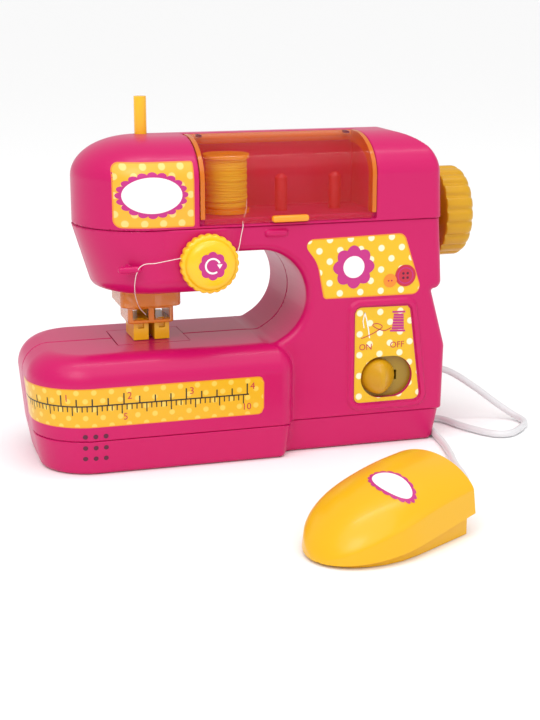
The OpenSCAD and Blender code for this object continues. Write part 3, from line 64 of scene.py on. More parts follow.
CORD_D = 3.0
CORD = [(92, 0, 24), (95.5, 0, 24), (100.5, 0, 23.2), (106, -0.5, 20.6), (112, -1.5, 16.6), (118, -3, 12.2),
        (123, -5, 8.2), (127.5, -7.5, 4.8), (131, -11, 2.4), (132.5, -15.5, 1.6), (131.5, -20.5, 1.5),
        (128, -25.5, 1.5), (123.5, -30, 1.5), (118.5, -33.3, 1.5), (113.5, -33.2, 1.5), (109.6, -29.8, 1.5),
        (106.6, -25, 1.5), (103.8, -19.5, 1.5), (101.6, -14, 1.5), (100, -8.5, 1.5), (97.3, -3.8, 1.5),
        (93.2, -2.2, 1.5), (89.6, -4.6, 1.5), (88.1, -9.5, 1.5), (87.6, -16, 1.5), (86.8, -23, 1.5),
        (86, -30, 1.5), (85, -37.5, 1.5), (83.6, -45, 1.5), (81.8, -53, 1.5), (79.6, -61, 1.5),
        (77.8, -69, 1.5), (76.4, -77, 1.5), (74.4, -85, 1.5), (71, -92.5, 1.6), (66.5, -99, 1.9),
        (61.3, -105, 2.3), (56.1, -110.2, 2.6), (51.5, -113.63, 2.6), (47.2, -116.1, 2.6)]


def tube_curve(name, points, radius, resolution=6, sides=5):
    """A round tube along points in millimetres, as one open curve."""
    data = bpy.data.curves.new(name, "CURVE")
    data.dimensions = "3D"
    data.bevel_depth = radius * MM
    data.bevel_resolution = sides
    data.use_fill_caps = True
    data.resolution_u = resolution
    spline = data.splines.new("BEZIER")
    spline.bezier_points.add(len(points) - 1)
    for b, p in zip(spline.bezier_points, points):
        b.co = [c * MM for c in p]
        b.handle_left_type = b.handle_right_type = "AUTO"
    obj = bpy.data.objects.new(name, data)
    bpy.context.collection.objects.link(obj)
    return obj


cord = tube_curve("power_cord", CORD, CORD_D / 2)


# %% [markdown]
# Materials are named for what the real pieces are made of; the dark one is both dark ink and painted shade.
# Colours are given as they look on screen.

# %% Materials
def srgb(code):
    values = [int(code[i:i + 2], 16) / 255 for i in (0, 2, 4)]
    return [v / 12.92 if v <= 0.04045 else ((v + 0.055) / 1.055) ** 2.4 for v in values] + [1]


def add(tree, kind, **values):
    """One node, with its properties or sockets set by name."""
    node = tree.nodes.new(kind)
    for key, value in values.items():
        if hasattr(node, key):
            setattr(node, key, value)
        else:
            node.inputs[key].default_value = value
    return node


def plastic(name, colour, rough=0.3, coat=0.0, grain=0.0, scale=900, **sockets):
    """Moulded plastic: one colour, with a fine grain in the surface where it isn't polished."""
    mat = bpy.data.materials.new(name)
    mat.use_nodes = True
    tree = mat.node_tree
    shader = tree.nodes["Principled BSDF"]
    sockets.update(Base_Color=srgb(colour), Roughness=rough, Coat_Weight=coat)
    for key, value in sockets.items():
        shader.inputs[key.replace("_", " ")].default_value = value
    if grain:
        coord = add(tree, "ShaderNodeTexCoord")
        noise = add(tree, "ShaderNodeTexNoise", Scale=scale, Detail=2)
        bump = add(tree, "ShaderNodeBump", Strength=grain, Distance=0.0002)
        tree.links.new(coord.outputs["Object"], noise.inputs["Vector"])
        tree.links.new(noise.outputs["Fac"], bump.inputs["Height"])
        tree.links.new(bump.outputs["Normal"], shader.inputs["Normal"])
    return mat


def dotted(name, ground, dots, pitch, radius):
    """A printed sticker: staggered dots on a ground, laid out in millimetres in the piece's own UV map."""
    mat = plastic(name, ground, 0.28)
    soft = 0.02
    tree = mat.node_tree
    shader = tree.nodes["Principled BSDF"]
    uv = add(tree, "ShaderNodeUVMap", uv_map="print")
    masks = []
    for shift in (0, 0.5):
        place, cell, off, far = (add(tree, "ShaderNodeVectorMath", operation=kind)
                                 for kind in ("MULTIPLY_ADD", "FRACTION", "SUBTRACT", "LENGTH"))
        place.inputs[1].default_value = (1 / pitch, 1 / pitch, 0)
        place.inputs[2].default_value = (shift, shift, 0)
        off.inputs[1].default_value = (0.5, 0.5, 0)
        edge = add(tree, "ShaderNodeMapRange")
        edge.inputs["From Min"].default_value = radius / pitch + soft
        edge.inputs["From Max"].default_value = radius / pitch - soft
        for a, b in ((uv, place), (place, cell), (cell, off), (off, far)):
            tree.links.new(a.outputs[0], b.inputs[0])
        tree.links.new(far.outputs["Value"], edge.inputs["Value"])
        masks.append(edge)
    either = add(tree, "ShaderNodeMath", operation="MAXIMUM")
    mix = add(tree, "ShaderNodeMix", data_type="RGBA")
    mix.inputs["A"].default_value = srgb(ground)
    mix.inputs["B"].default_value = srgb(dots)
    for mask, socket in zip(masks, either.inputs):
        tree.links.new(mask.outputs[0], socket)
    tree.links.new(either.outputs[0], mix.inputs["Factor"])
    tree.links.new(mix.outputs["Result"], shader.inputs["Base Color"])
    return mat


PINK = plastic("pink_abs", "c60f60", 0.3, 0.06, 0.03, Specular_IOR_Level=0.28)
# Dark ink for the printed button eyes, and painted shade: the same colour laid as flat dark patches in the
# lid's top and at the speaker openings.
DARK_INK_AND_SHADE = plastic("dark_ink_and_painted_shade", "5a0d33", 0.6)
YELLOW = plastic("yellow_abs", "e9b00b", 0.28, 0.1, 0.02, Specular_IOR_Level=0.35)
AMBER = plastic("amber_abs", "a0801a", 0.35)
CLEAR = plastic("clear_orange_styrene", "d03000", 0.08, 0.2, Alpha=0.23, Specular_IOR_Level=0.3)
CLEAR_EDGE = plastic("orange_styrene", "ea7d12", 0.15, 0.3, Alpha=0.7)
GUARD = plastic("amber_styrene", "e8840c", 0.15, 0.15, Alpha=0.8)
BRIGHT = plastic("bright_yellow_abs", "fac20e", 0.25, 0.2)
KNOBBLY = plastic("knobbly_styrene", "f59a1c", 0.2, 0.2, 0.9, 420)
GOLD = plastic("gold_abs", "cb9710", 0.3, 0.05, 0.02, Specular_IOR_Level=0.35)
RED = plastic("red_abs", "c8123c", 0.3)
WHITE = plastic("white_nylon", "e9e7e2", 0.4)
STEEL = plastic("bright_steel", "c2c3c6", 0.25, Metallic=1.0)
BLACK = plastic("black_abs", "1c1c1e", 0.45)
BOARD = plastic("board_green", "1d6b3a", 0.4)
THREAD = plastic("yellow_cotton", "fbe636", 0.8, grain=0.3, scale=2500)
WHITE_THREAD = plastic("pale_cotton", "e8dcd6", 0.7)
VINYL = plastic("white_vinyl", "dcdcde", 0.35)
PALE_STICKER = dotted("pale_dotted_paper", "f2b02a", "f9d27a", 7.4, 1.4)
STICKER = dotted("dotted_paper", "e8b90c", "fbf2cc", 9.0, 1.35)
RULE_PAPER = dotted("rule_paper", "e8b018", "f2ca55", 7.0, 1.1)
EDGE_INK = plastic("orange_ink", "ee8f1c", 0.35)
BLACK_INK = plastic("black_ink", "2a2118", 0.4)
RED_INK = plastic("red_ink", "c4203e", 0.4)
WHITE_INK = plastic("white_ink", "f6f2ee", 0.4)
MAGENTA_INK = plastic("magenta_ink", "c2237f", 0.35)
ORANGE_INK = plastic("bright_orange_ink", "f08a22", 0.4)
print("materials:", len(bpy.data.materials))


# %% [markdown]
# The moulded shells are distance fields: profiles joined with rounded edges.
# A grid finds where the field crosses zero, and each point is then moved exactly onto the surface.

# %% Field tools
def rmax(a, b, r):
    """Where a and b overlap, with the outer edge rounded to r."""
    return np.minimum(-r, np.maximum(a, b)) + np.sqrt(np.maximum(a + r, 0) ** 2 + np.maximum(b + r, 0) ** 2)


def rmin(a, b, r):
    """a and b together, with a fillet of r between them."""
    return -rmax(-a, -b, r)


def carved(skin, *shapes):
    """A skin with shapes cut out of it, their edges sharp."""
    for shape in shapes:
        skin = np.maximum(skin, -shape)
    return skin


def circle(n):
    """Angles of n places round a circle."""
    return np.linspace(0, 2 * math.pi, n, endpoint=False)


def stood(p, y):
    """A flat layout in X and Z, stood up at y."""
    return np.column_stack([p[:, 0], np.broadcast_to(y, len(p)), p[:, 1]])


def outline(points, radii, steps=10):
    """A closed outline with rounded corners."""
    pts = [np.array(p, float) for p in points]
    out = []
    for i, c in enumerate(pts):
        u = pts[i - 1] - c
        v = pts[(i + 1) % len(pts)] - c
        u /= np.linalg.norm(u)
        v /= np.linalg.norm(v)
        half = math.acos(max(-1, min(1, float(u @ v)))) / 2
        m = c + (u + v) / np.linalg.norm(u + v) * radii[i] / math.sin(half)
        t0 = c + u * radii[i] / math.tan(half) - m
        t1 = c + v * radii[i] / math.tan(half) - m
        a0 = math.atan2(t0[1], t0[0])
        sweep = (math.atan2(t1[1], t1[0]) - a0 + 3 * math.pi) % (2 * math.pi) - math.pi
        n = steps if radii[i] > 1 else 3
        for k in range(n + 1):
            a = a0 + sweep * k / n
            out.append(m + radii[i] * np.array([math.cos(a), math.sin(a)]))
    return np.array(out)


def poly_field(px, py, pts):
    """Signed distance to a closed outline."""
    shape = np.broadcast(px, py).shape
    dist = np.full(shape, 1e9)
    inside = np.zeros(shape, bool)
    for a, b in zip(pts, np.roll(pts, 1, axis=0)):
        e = b - a
        length = e @ e
        if length < 1e-12:
            continue
        wx = px - a[0]
        wy = py - a[1]
        t = np.clip((wx * e[0] + wy * e[1]) / length, 0, 1)
        dist = np.minimum(dist, (wx - e[0] * t) ** 2 + (wy - e[1] * t) ** 2)
        up = py >= a[1]
        down = py < b[1]
        left = e[0] * wy > e[1] * wx
        inside ^= (up & down & left) | (~up & ~down & ~left)
    dist = np.sqrt(dist)
    return np.where(inside, -dist, dist)


def corner_field(qx, qy, r):
    """Distance to a rectangle with corners of r, from the distances past its straight sides plus r."""
    return np.minimum(np.maximum(qx, qy), 0) + np.sqrt(np.maximum(qx, 0) ** 2 + np.maximum(qy, 0) ** 2) - r


def box_field(x, y, z, lo, hi):
    q = [np.maximum(l - c, c - h) for c, l, h in zip((x, y, z), lo, hi)]
    return np.maximum(np.maximum(q[0], q[1]), q[2])


def rod_field(a, b, ca, cb, r):
    return np.sqrt((a - ca) ** 2 + (b - cb) ** 2) - r


def capsule_field(x, y, z, p, q, r):
    d = [b - a for a, b in zip(p, q)]
    w = [c - a for c, a in zip((x, y, z), p)]
    t = np.clip(sum(a * b for a, b in zip(w, d)) / sum(c * c for c in d), 0, 1)
    return np.sqrt(sum((a - b * t) ** 2 for a, b in zip(w, d))) - r


def gradient(field, p, eps=0.05):
    g = np.empty_like(p)
    for k, step in enumerate(np.eye(3) * eps):
        g[:, k] = (field(*(p + step).T) - field(*(p - step).T)) / (2 * eps)
    return g


def surface(field, lo, hi, h, steps=3, least_slope=0.05):
    """Points and quads of the field's zero surface on a grid of spacing h, and the normals there."""
    axes = [np.arange(a, b + h, h) for a, b in zip(lo, hi)]
    f = field(axes[0][:, None, None], axes[1][None, :, None], axes[2][None, None, :])
    f = np.broadcast_to(f, [len(a) for a in axes]).astype(np.float32)
    sign = f < 0
    shape = np.array(f.shape) - 1
    corners = [(i, j, k) for i in (0, 1) for j in (0, 1) for k in (0, 1)]
    inside = sum(sign[i:i + shape[0], j:j + shape[1], k:k + shape[2]].astype(np.int8) for i, j, k in corners)
    cells = np.argwhere((inside > 0) & (inside < len(corners)))
    index = np.full(shape, -1, np.int32)
    index[tuple(cells.T)] = np.arange(len(cells))
    total = np.zeros((len(cells), 3))
    count = np.zeros(len(cells))
    for c in corners:
        for axis in range(3):
            if c[axis]:
                continue
            d = list(c)
            d[axis] = 1
            a = f[tuple((cells + c).T)]
            b = f[tuple((cells + d).T)]
            cross = (a < 0) != (b < 0)
            t = np.where(cross, a / np.where(cross, a - b, 1), 0)
            spot = np.tile(np.array(c, float), (len(cells), 1))
            spot[:, axis] = t
            total[cross] += spot[cross]
            count[cross] += 1
    p = (cells + total / count[:, None]) * h + np.array([a[0] for a in axes])
    for _ in range(steps):
        g = gradient(field, p)
        size = np.maximum((g ** 2).sum(1), least_slope)
        move = field(*p.T)[:, None] * g / size[:, None]
        p -= np.clip(move, -h / 2, h / 2)
    quads = []
    for axis in range(3):
        b, c = (axis + 1) % 3, (axis + 2) % 3
        e = np.argwhere(np.diff(sign, axis=axis))
        e = e[(e[:, b] > 0) & (e[:, c] > 0) & (e[:, b] < shape[b]) & (e[:, c] < shape[c])]
        to_b, to_c = np.eye(3, dtype=int)[[b, c]]
        ring = np.stack([index[tuple((e - db * to_b - dc * to_c).T)]
                         for db, dc in ((1, 1), (0, 1), (0, 0), (1, 0))], 1)
        out = sign[tuple(e.T)]
        ring[~out] = ring[~out][:, ::-1]
        quads.append(ring)
    g = gradient(field, p)
    g /= np.maximum(np.linalg.norm(g, axis=1, keepdims=True), 1e-6)
    return p, np.concatenate(quads), g


def mesh_object(name, points, faces, mat, normals=None, uv=None):
    """A smooth mesh from points in millimetres, with normals or a print's UV map if they are given."""
    mesh = bpy.data.meshes.new(name)
    mesh.from_pydata((np.asarray(points, float) * MM).tolist(), [], faces)
    mesh.validate()
    mesh.shade_smooth()
    if uv is not None:
        layer = mesh.uv_layers.new(name="print")
        loops = np.empty(len(mesh.loops), np.int32)
        mesh.loops.foreach_get("vertex_index", loops)
        layer.data.foreach_set("uv", np.asarray(uv, float)[loops].ravel())
    if normals is not None:
        mesh.normals_split_custom_set_from_vertices(normals.tolist())
    mesh.update()
    obj = bpy.data.objects.new(name, mesh)
    bpy.context.collection.objects.link(obj)
    mesh.materials.append(mat)
    return obj


def sharp_by_angle(obj, degrees):
    """Smooth shading, with edges steeper than this kept sharp."""
    obj.data.shade_smooth()
    obj.data.set_sharp_from_angle(angle=math.radians(degrees))


def moulded(name, field, lo, hi, h, mat, node):
    """A skin on the machine's body that is shown instead of a solid."""
    p, q, n = surface(field, lo, hi, h)
    obj = mesh_object(name, p, q.tolist(), mat, n)
    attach(obj, "machine")
    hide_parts(node)
    print(name, len(q), "quads")


def piece(name, mesh, mat, body, node=None, degrees=35, uv=None):
    """A smaller piece on any body, with edges steeper than some degrees kept sharp."""
    obj = mesh_object(name, *mesh, mat, uv=uv)
    sharp_by_angle(obj, degrees)
    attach(obj, body)
    if node:
        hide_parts(node)
    return obj


def ring_faces(rows, n):
    """Quads between closed rings of n points each."""
    return [(k * n + i, k * n + (i + 1) % n, (k + 1) * n + (i + 1) % n, (k + 1) * n + i)
            for k in range(rows - 1) for i in range(n)]


def capped_faces(rows, n):
    """The same, with the first and the last ring closed."""
    return ring_faces(rows, n) + [tuple(range(n))[::-1], tuple(range((rows - 1) * n, rows * n))]


# %% [markdown]
# Sizes of the casing, in millimetres, as the solids have them. Only the bed's left end stands further in,
# where the photograph shows it.

# %% Casing
BED_L, BED_R, BED_HALF, BED_TOP = -87.6, 19.5, 36.0, 48.0
END_R, STEP_R, BED_EDGE = 24.0, 6.0, 11.5
LEAN_Z, LEAN_H, LEAN_MOST, LEAN_X = 36.5, 22.1, 1.3, 86.0
END_LEAN, SIDE_LEAN = 2.0, 0.8
PAN_Z, SEAM_Z, HALF, WALL = 14.4, 97.0, 29.0, 2.2
SEAM_GAP, SEAM_EDGE, PAN_EDGE = 0.03, 0.4, 0.35
NX, HEAD_R, HEAD_HALF, HEAD_Z, HEAD_RIGHT = -34.5, 30.5, 29.6, 70.5, -5.0
HEAD_FLARE, HEAD_EDGE, HEAD_SWELL = 8.0, 3.0, 4.0
COLUMN_EDGE, BED_FILLET, HEAD_FILLET = 3.5, 2.0, 1.5
TX, TR = 7.0, 19.75
TZ = BED_TOP - 0.8 + TR
COVER_HALF, COVER_L, COVER_R, TOP = 29.7, 30.2, 86.0, 131.8
CROWN, CROWN_D, DOME = 16.0, 24.5, 18.0
SHAFT_Z, SHAFT_HOLE_R, CORD_HOLE_R, END_X = 95.5, 3.3, 3.7, 70.0
DIAL_X, DIAL_Z, DIAL_BACK, DIAL_HOLE_R, DIAL_HOLE_Y = -15.6, 83.5, -29.9, 3.1, -20.0
GUIDE_BOX = (-43.1, -7.1, 60), (-25.9, 11.6, 82)
PLATE_BOX = (-49.6, -13.1, 46.8), (-19.4, 13.1, 49)
NEEDLE_Y, NEEDLE_HOLE_R, NEEDLE_HOLE_Z, NEEDLE_HOLE_H = -2, 3.2, 46, 4
SWITCH_X, SWITCH_Z, SLOT_HALF, SLOT_R, SLOT_BACK = 61.8, 30.3, 2.6, 8.85, -24.0
RIM, RIM_FRONT, RIM_BACK, RIM_FILLET, PANEL_FLOOR = 2.4, -30.1, -26.0, 0.8, -29.05
LEDGE = (9.8, -29.0, 94), (16.6, -29.0, 94), 1.5
HOOK_BAR = (-50.9, -31.2, 82.4), (-43.9, -31.2, 82.4), 1.35
HOOK_STEM = (-47.4, -30.8, 82.4), (-47.4, -24.0, 82.4), 1.2

throat = [(TX + TR * math.cos(a), TZ + TR * math.sin(a)) for a in np.radians(np.linspace(88, -60, 40))]
column_right = outline([(3, 5), (88, 5), (88.8, 42), (82.2, 66.3), (86.7, 67.0), (84.4, 106), (-34, 106)],
                       [0.2, 0.2, 4, 0.7, 3.6, 0.2, 0.2])
COLUMN = np.array(list(map(tuple, column_right)) + [(-34, TZ + TR), (TX, TZ + TR)] + throat + [(3, 41.9)])
PANEL = outline([(46.8, 19), (77.7, 19), (72.2, 61.4), (46.8, 61.4)], [3] * 4)


def bed_field(x, y, z):
    lean = np.clip((LEAN_Z - z) / LEAN_H, 0, LEAN_MOST)
    xs = x - END_LEAN * lean * np.clip(-x / LEAN_X, 0, 1)
    mid = (BED_L + BED_R) / 2
    r = np.where(x < mid, END_R, STEP_R)
    plan = corner_field(np.abs(xs - mid) - (BED_R - BED_L) / 2 + r,
                        np.abs(y) - (BED_HALF - SIDE_LEAN * lean) + r, r)
    return rmax(plan, z - BED_TOP, BED_EDGE)


def head_field(x, y, z):
    a = HEAD_R - HEAD_FLARE * np.clip((SEAM_Z - z) / (SEAM_Z - HEAD_Z), -0.1, 1.2)
    dx = np.minimum(x - NX, 0)
    side = (np.sqrt((dx / a) ** 2 + (y / HEAD_HALF) ** 2) - 1) * np.minimum(a, HEAD_HALF)
    side = rmax(side, x - HEAD_RIGHT, COLUMN_EDGE)
    return rmax(side, HEAD_Z - z, HEAD_EDGE + HEAD_SWELL * np.clip(np.abs(y) / HEAD_HALF, 0, 1))


def body_field(x, y, z):
    column = rmax(poly_field(x, z, COLUMN), np.abs(y) - HALF, COLUMN_EDGE)
    body = rmin(bed_field(x, y, z), column, BED_FILLET)
    return rmin(body, head_field(x, y, z), HEAD_FILLET)


def cuts(x, y, z):
    """Openings through the casing: the bars' guide, the needle, its plate, shaft, cord and dial."""
    needle = np.maximum(rod_field(x, y, NX, NEEDLE_Y, NEEDLE_HOLE_R),
                        np.abs(z - NEEDLE_HOLE_Z) - NEEDLE_HOLE_H)
    cut = np.minimum(box_field(x, y, z, *GUIDE_BOX), needle)
    cut = np.minimum(cut, box_field(x, y, z, *PLATE_BOX))
    for hole_z, r in ((SHAFT_Z, SHAFT_HOLE_R), (CORD[0][2], CORD_HOLE_R)):
        cut = np.minimum(cut, np.maximum(rod_field(y, z, 0, hole_z, r), END_X - x))
    return np.minimum(cut, np.maximum(rod_field(x, z, DIAL_X, DIAL_Z, DIAL_HOLE_R), y - DIAL_HOLE_Y))


def shell_field(x, y, z, front):
    """Half of the hollow casing. The front half has the switch panel, the ledge and the thread hook."""
    body = body_field(x, y, z)
    skin = body
    if front:
        panel = poly_field(x, z, PANEL)
        rim = rmax(rmax(panel - RIM, RIM_FRONT - y, 1.0), y - RIM_BACK, 0.3)
        skin = carved(rmin(skin, rim, RIM_FILLET), np.maximum(panel, y - PANEL_FLOOR))
        skin = rmin(skin, capsule_field(x, y, z, *LEDGE), 0.6)
        hook = rmin(capsule_field(x, y, z, *HOOK_BAR), capsule_field(x, y, z, *HOOK_STEM), 0.5)
        skin = np.minimum(skin, hook)
    skin = rmax(skin, z - (SEAM_Z - SEAM_GAP), SEAM_EDGE)
    skin = rmax(skin, PAN_Z + SEAM_GAP - z, PAN_EDGE)
    skin = rmax(skin, (y if front else -y) + SEAM_GAP, SEAM_EDGE)
    if front:
        slot = np.sqrt(np.maximum(np.abs(x - SWITCH_X) - SLOT_HALF, 0) ** 2 + (z - SWITCH_Z) ** 2) - SLOT_R
        skin = carved(skin, np.maximum(slot, y - SLOT_BACK))
    return carved(skin, body + WALL, cuts(x, y, z))


STEP = 0.8
moulded("front_shell", lambda x, y, z: shell_field(x, y, z, True), (-92, -38, 13), (91, 2, 98), STEP,
        PINK, "front_casing")
moulded("rear_shell", lambda x, y, z: shell_field(x, y, z, False), (-92, -2, 13), (91, 38, 98), STEP,
        PINK, "rear_casing")


# %% [markdown]
# The top cover rounds over in a long ellipse at the sides and a tighter one at the right end.
# The base pan follows the casing's outline and draws in towards the floor.

# %% Top cover and base pan
BAY_L, BAY_R, BAY_FLOOR, BAY_BACK, BAY_WALL = -18.5, 56.0, 100.4, 1.5, 1.9
LIP_RISE, LIP_Y, ROOF_Z, PAST = 1.1, -27.6, 124.0, 150.0
BAR_Y, BAR_HOLE_R, BAR_HOLE_Z = 6.0, 2.65, 110.0
END_DRAFT, END_EDGE = 1.5, 6.0


def cover_body(x, y, z):
    dx = np.minimum(x - NX, 0)
    side = (np.sqrt((dx / COVER_L) ** 2 + (y / COVER_HALF) ** 2) - 1) * COVER_HALF
    end = (x - (COVER_R - END_DRAFT * (z - SEAM_Z) / (TOP - SEAM_Z))) * CROWN_D / DOME
    plan = rmax(side, end, END_EDGE)
    rise = (z - (TOP - CROWN)) / CROWN
    inner = np.maximum(1 + np.maximum(plan, -CROWN_D) / CROWN_D, 0)
    crown = (np.sqrt(inner ** 2 + np.maximum(rise, 0) ** 2) - 1) * CROWN
    return np.where(rise > 0, np.maximum(crown, -np.maximum(-plan, 0)), plan)


def cover_field(x, y, z):
    body = cover_body(x, y, z)
    bay = np.minimum(box_field(x, y, z, (BAY_L, -PAST, BAY_FLOOR), (BAY_R, BAY_BACK, PAST)),
                     box_field(x, y, z, (BAY_L, -PAST, SEAM_Z + LIP_RISE), (BAY_R, LIP_Y, PAST)))
    skin = rmax(rmax(body, SEAM_Z + SEAM_GAP - z, SEAM_EDGE), -bay, SEAM_EDGE)
    hollow = np.maximum(np.maximum(body + WALL, BAY_WALL - bay), z - ROOF_Z)
    return carved(skin, hollow, np.maximum(rod_field(x, y, NX, BAR_Y, BAR_HOLE_R), BAR_HOLE_Z - z),
                  np.maximum(rod_field(y, z, 0, SHAFT_Z, SHAFT_HOLE_R), END_X - x))


moulded("cover_skin", cover_field, (-67, -32, 96), (89, 32, 133), STEP, PINK, "top_cover")

PAN_L, PAN_R, PAN_STEPS = -85.9, 88.3, 40
PAN = outline([(PAN_L, -BED_HALF), (BED_R, -BED_HALF), (BED_R, -HALF), (PAN_R, -HALF),
               (PAN_R, HALF), (BED_R, HALF), (BED_R, BED_HALF), (PAN_L, BED_HALF)],
              [END_R, STEP_R, 1.5, 6.5, 6.5, 1.5, STEP_R, END_R], PAN_STEPS)
PAN_IN, PAN_TAPER, PAN_RUN, PAN_FOOT, PAN_WALL, PAN_FLOOR = 0.35, 2.5, 13.4, 1.6, 5.2, 2.0
DOOR_BOX = (-62, -24.2, -5), (-6, 24.2, 5)
PAN_SCREWS, PAN_SCREW_R = ((-70, 17), (80, 20)), 2.9


def pan_field(x, y, z):
    plan = poly_field(x, y, PAN)
    taper = PAN_IN + PAN_TAPER * (PAN_Z - z) / PAN_RUN
    skin = rmax(rmax(plan + taper, -z, PAN_FOOT), z - PAN_Z + SEAM_GAP, PAN_EDGE)
    cut = box_field(x, y, z, *DOOR_BOX)
    for px, py in PAN_SCREWS:
        cut = np.minimum(cut, rod_field(x, np.abs(y), px, py, PAN_SCREW_R))
    return carved(skin, np.maximum(plan + PAN_WALL, PAN_FLOOR - z), cut)


moulded("pan_skin", pan_field, (-88, -37, -1), (90, 37, 16), STEP, PINK, "base_pan")


# %% [markdown]
# The needle guard is a clear amber box: a wide collar under the head and a narrower skirt with two windows.

# %% Needle guard
GUARD_X, GUARD_T, GUARD_LOW, COLLAR_LOW, COLLAR_HIGH = NX - 0.4, 1.5, 55.7, 62.7, 70.4
COLLAR_HALF, COLLAR_Y, COLLAR_R = 12.6, (-12.4, 13.4), 3.6
SKIRT_HALF, SKIRT_Y, SKIRT_R, SKIRT_HIGH, SKIRT_BACK = 9.6, (-10.7, 11.7), 2.4, 66.0, 7.6
WINDOW_Z, WINDOW_POST, WINDOW_SIDE, WINDOW_BACK = (57.2, 61.8), 1.2, 1.9, -6.0
GUARD_STEP = 0.5


def guard_plan(x, y, half, span, r):
    return corner_field(np.abs(x - GUARD_X) - half + r,
                        np.abs(y - (span[0] + span[1]) / 2) - (span[1] - span[0]) / 2 + r, r)


def guard_field(x, y, z):
    collar = guard_plan(x, y, COLLAR_HALF, COLLAR_Y, COLLAR_R)
    skirt = guard_plan(x, y, SKIRT_HALF, SKIRT_Y, SKIRT_R)
    upper = rmax(rmax(collar, COLLAR_LOW - z, 0.6), z - COLLAR_HIGH, 0.3)
    lower = rmax(rmax(rmax(skirt, GUARD_LOW - z, 0.4), z - SKIRT_HIGH, 0.3), y - SKIRT_BACK, 0.3)
    inside = np.where(z > COLLAR_LOW + GUARD_T, collar, skirt) + GUARD_T
    across = np.abs(x - GUARD_X)
    window = np.maximum(np.maximum(WINDOW_POST - across, across - SKIRT_HALF + WINDOW_SIDE),
                        np.maximum(WINDOW_Z[0] - z, z - WINDOW_Z[1]))
    return carved(rmin(upper, lower, 0.4), inside, np.maximum(window, y - WINDOW_BACK))


moulded("guard_box", guard_field, (-49, -14, 54), (-20, 15, 72), GUARD_STEP, GUARD, "needle_guard")


# %% [markdown]
# The pedal is lofted along its length: a rounded nose that swells into a broad back.

# %% Pedal
PEDAL_AT, PEDAL_TURN = (-7.8, -147.9), math.radians(30)
PEDAL_L, PEDAL_W, PEDAL_H, PEDAL_T = 61.0, 43.0, 26.5, 1.8
NOTCH_HALF, NOTCH_TOP = 4.8, 9.5
SEAM_LOW, SEAM_RISE, LEAST, END_IN = 1, 7, 0.05, 0.975
SIDE_SHARE, CAP_SHARE, CAP_W, CAP_POWER = 0.46, 0.54, 0.954, 0.72
OUTER_LEAN, INNER_LEAN, NOSE_SHARE, NOSE_POWER = 0.1, 0.046, 0.9, 0.6
BADGE_U, BADGE_V, BADGE_LOBES = 31.0, -6.6, 9


def pedal_seam(u):
    """Height of the cover's lower edge at a length along the pedal."""
    return SEAM_LOW + SEAM_RISE * u / PEDAL_L


def pedal_section(u, d, n):
    """The arch of n points at a length u, drawn in by d: two near-straight sides and a round cap."""
    t = min(1, max(0, u - d) / (PEDAL_L / 2 - d))
    w = max(LEAST, (PEDAL_W / 2 - d) * math.sqrt(1 - (1 - t) ** 2))
    t = min(1, max(0, u - d) / (PEDAL_L * NOSE_SHARE - d))
    h = max(LEAST, (PEDAL_H - d - pedal_seam(u)) * (1 - (1 - t) ** 2) ** NOSE_POWER)
    side = max(5, n // 9)
    rise = np.linspace(0, SIDE_SHARE, side, endpoint=False)
    q = np.cos(np.linspace(0, math.pi / 2, (n + 1) // 2 - side))
    lean = OUTER_LEAN * rise if d == 0 else INNER_LEAN * (rise / SIDE_SHARE) ** 4
    v = w * np.concatenate([1 - lean, CAP_W * q])
    z = h * np.concatenate([rise, SIDE_SHARE + CAP_SHARE * np.maximum(1 - q ** 2, 0) ** CAP_POWER])
    v = np.concatenate([v, -v[-2::-1]])
    z = np.concatenate([z, z[-2::-1]])
    return np.stack([np.full(len(v), u), v, pedal_seam(u) + z], 1)


def to_pedal(p):
    c, s = math.cos(PEDAL_TURN), math.sin(PEDAL_TURN)
    return np.stack([PEDAL_AT[0] + c * p[:, 0] - s * p[:, 1],
                     PEDAL_AT[1] + s * p[:, 0] + c * p[:, 1], p[:, 2]], 1)


def pedal_mesh():
    """The cover's outside, its hollow and its back wall, with a notch over the cord."""
    n = 81
    share = np.concatenate([np.linspace(0, 1, 40) ** 1.8 * 0.96, [0.975, 0.99, 1.0]])
    half, m = len(share), 2 * len(share)
    rings = [pedal_section(max(u, 0.01), 0, n) for u in share * PEDAL_L]
    foot_z = pedal_seam(PEDAL_L)
    rings[-1][:, 1] *= END_IN
    rings[-1][:, 2] = foot_z + (rings[-1][:, 2] - foot_z) * END_IN
    rings += [pedal_section(PEDAL_T + u * (PEDAL_L - 2 * PEDAL_T), PEDAL_T, n) for u in share[::-1]]
    faces = [(k * n + i, k * n + i + 1, (k + 1) % m * n + i + 1, (k + 1) % m * n + i)
             for k in range(m) if k != half - 1 for i in range(n - 1)]
    for k in range(half - 1):
        other = m - 1 - k
        for i, flip in ((0, False), (n - 1, True)):
            f = (k * n + i, (k + 1) * n + i, (other - 1) * n + i, other * n + i)
            faces.append(f[::-1] if flip else f)
    foot = []
    for first, u in (((half - 1) * n, PEDAL_L), (half * n, PEDAL_L - PEDAL_T)):
        at = m * n + 4 * len(foot)
        low = pedal_seam(u)
        rings.append(np.array([(u, -NOTCH_HALF, low), (u, -NOTCH_HALF, NOTCH_TOP),
                               (u, NOTCH_HALF, NOTCH_TOP), (u, NOTCH_HALF, low)]))
        wall = list(range(first, first + n)) + list(range(at, at + 4))
        faces.append(wall if not foot else wall[::-1])
        foot.append([first + n - 1] + wall[n:] + [first])
    faces += [(a, c, d, b) for a, b, c, d in zip(foot[0], foot[0][1:], foot[1], foot[1][1:])]
    return to_pedal(np.concatenate(rings)), faces


pedal = pedal_mesh()
piece("pedal_skin", pedal, YELLOW, "pedal", "pedal_cover", 28)
print("pedal", len(pedal[1]), "quads")


def pedal_height(u, v):
    """Height of the pedal's top over a place in its own frame."""
    ring = pedal_section(u, 0, 241)
    return np.interp(v, ring[::-1, 1], ring[::-1, 2])


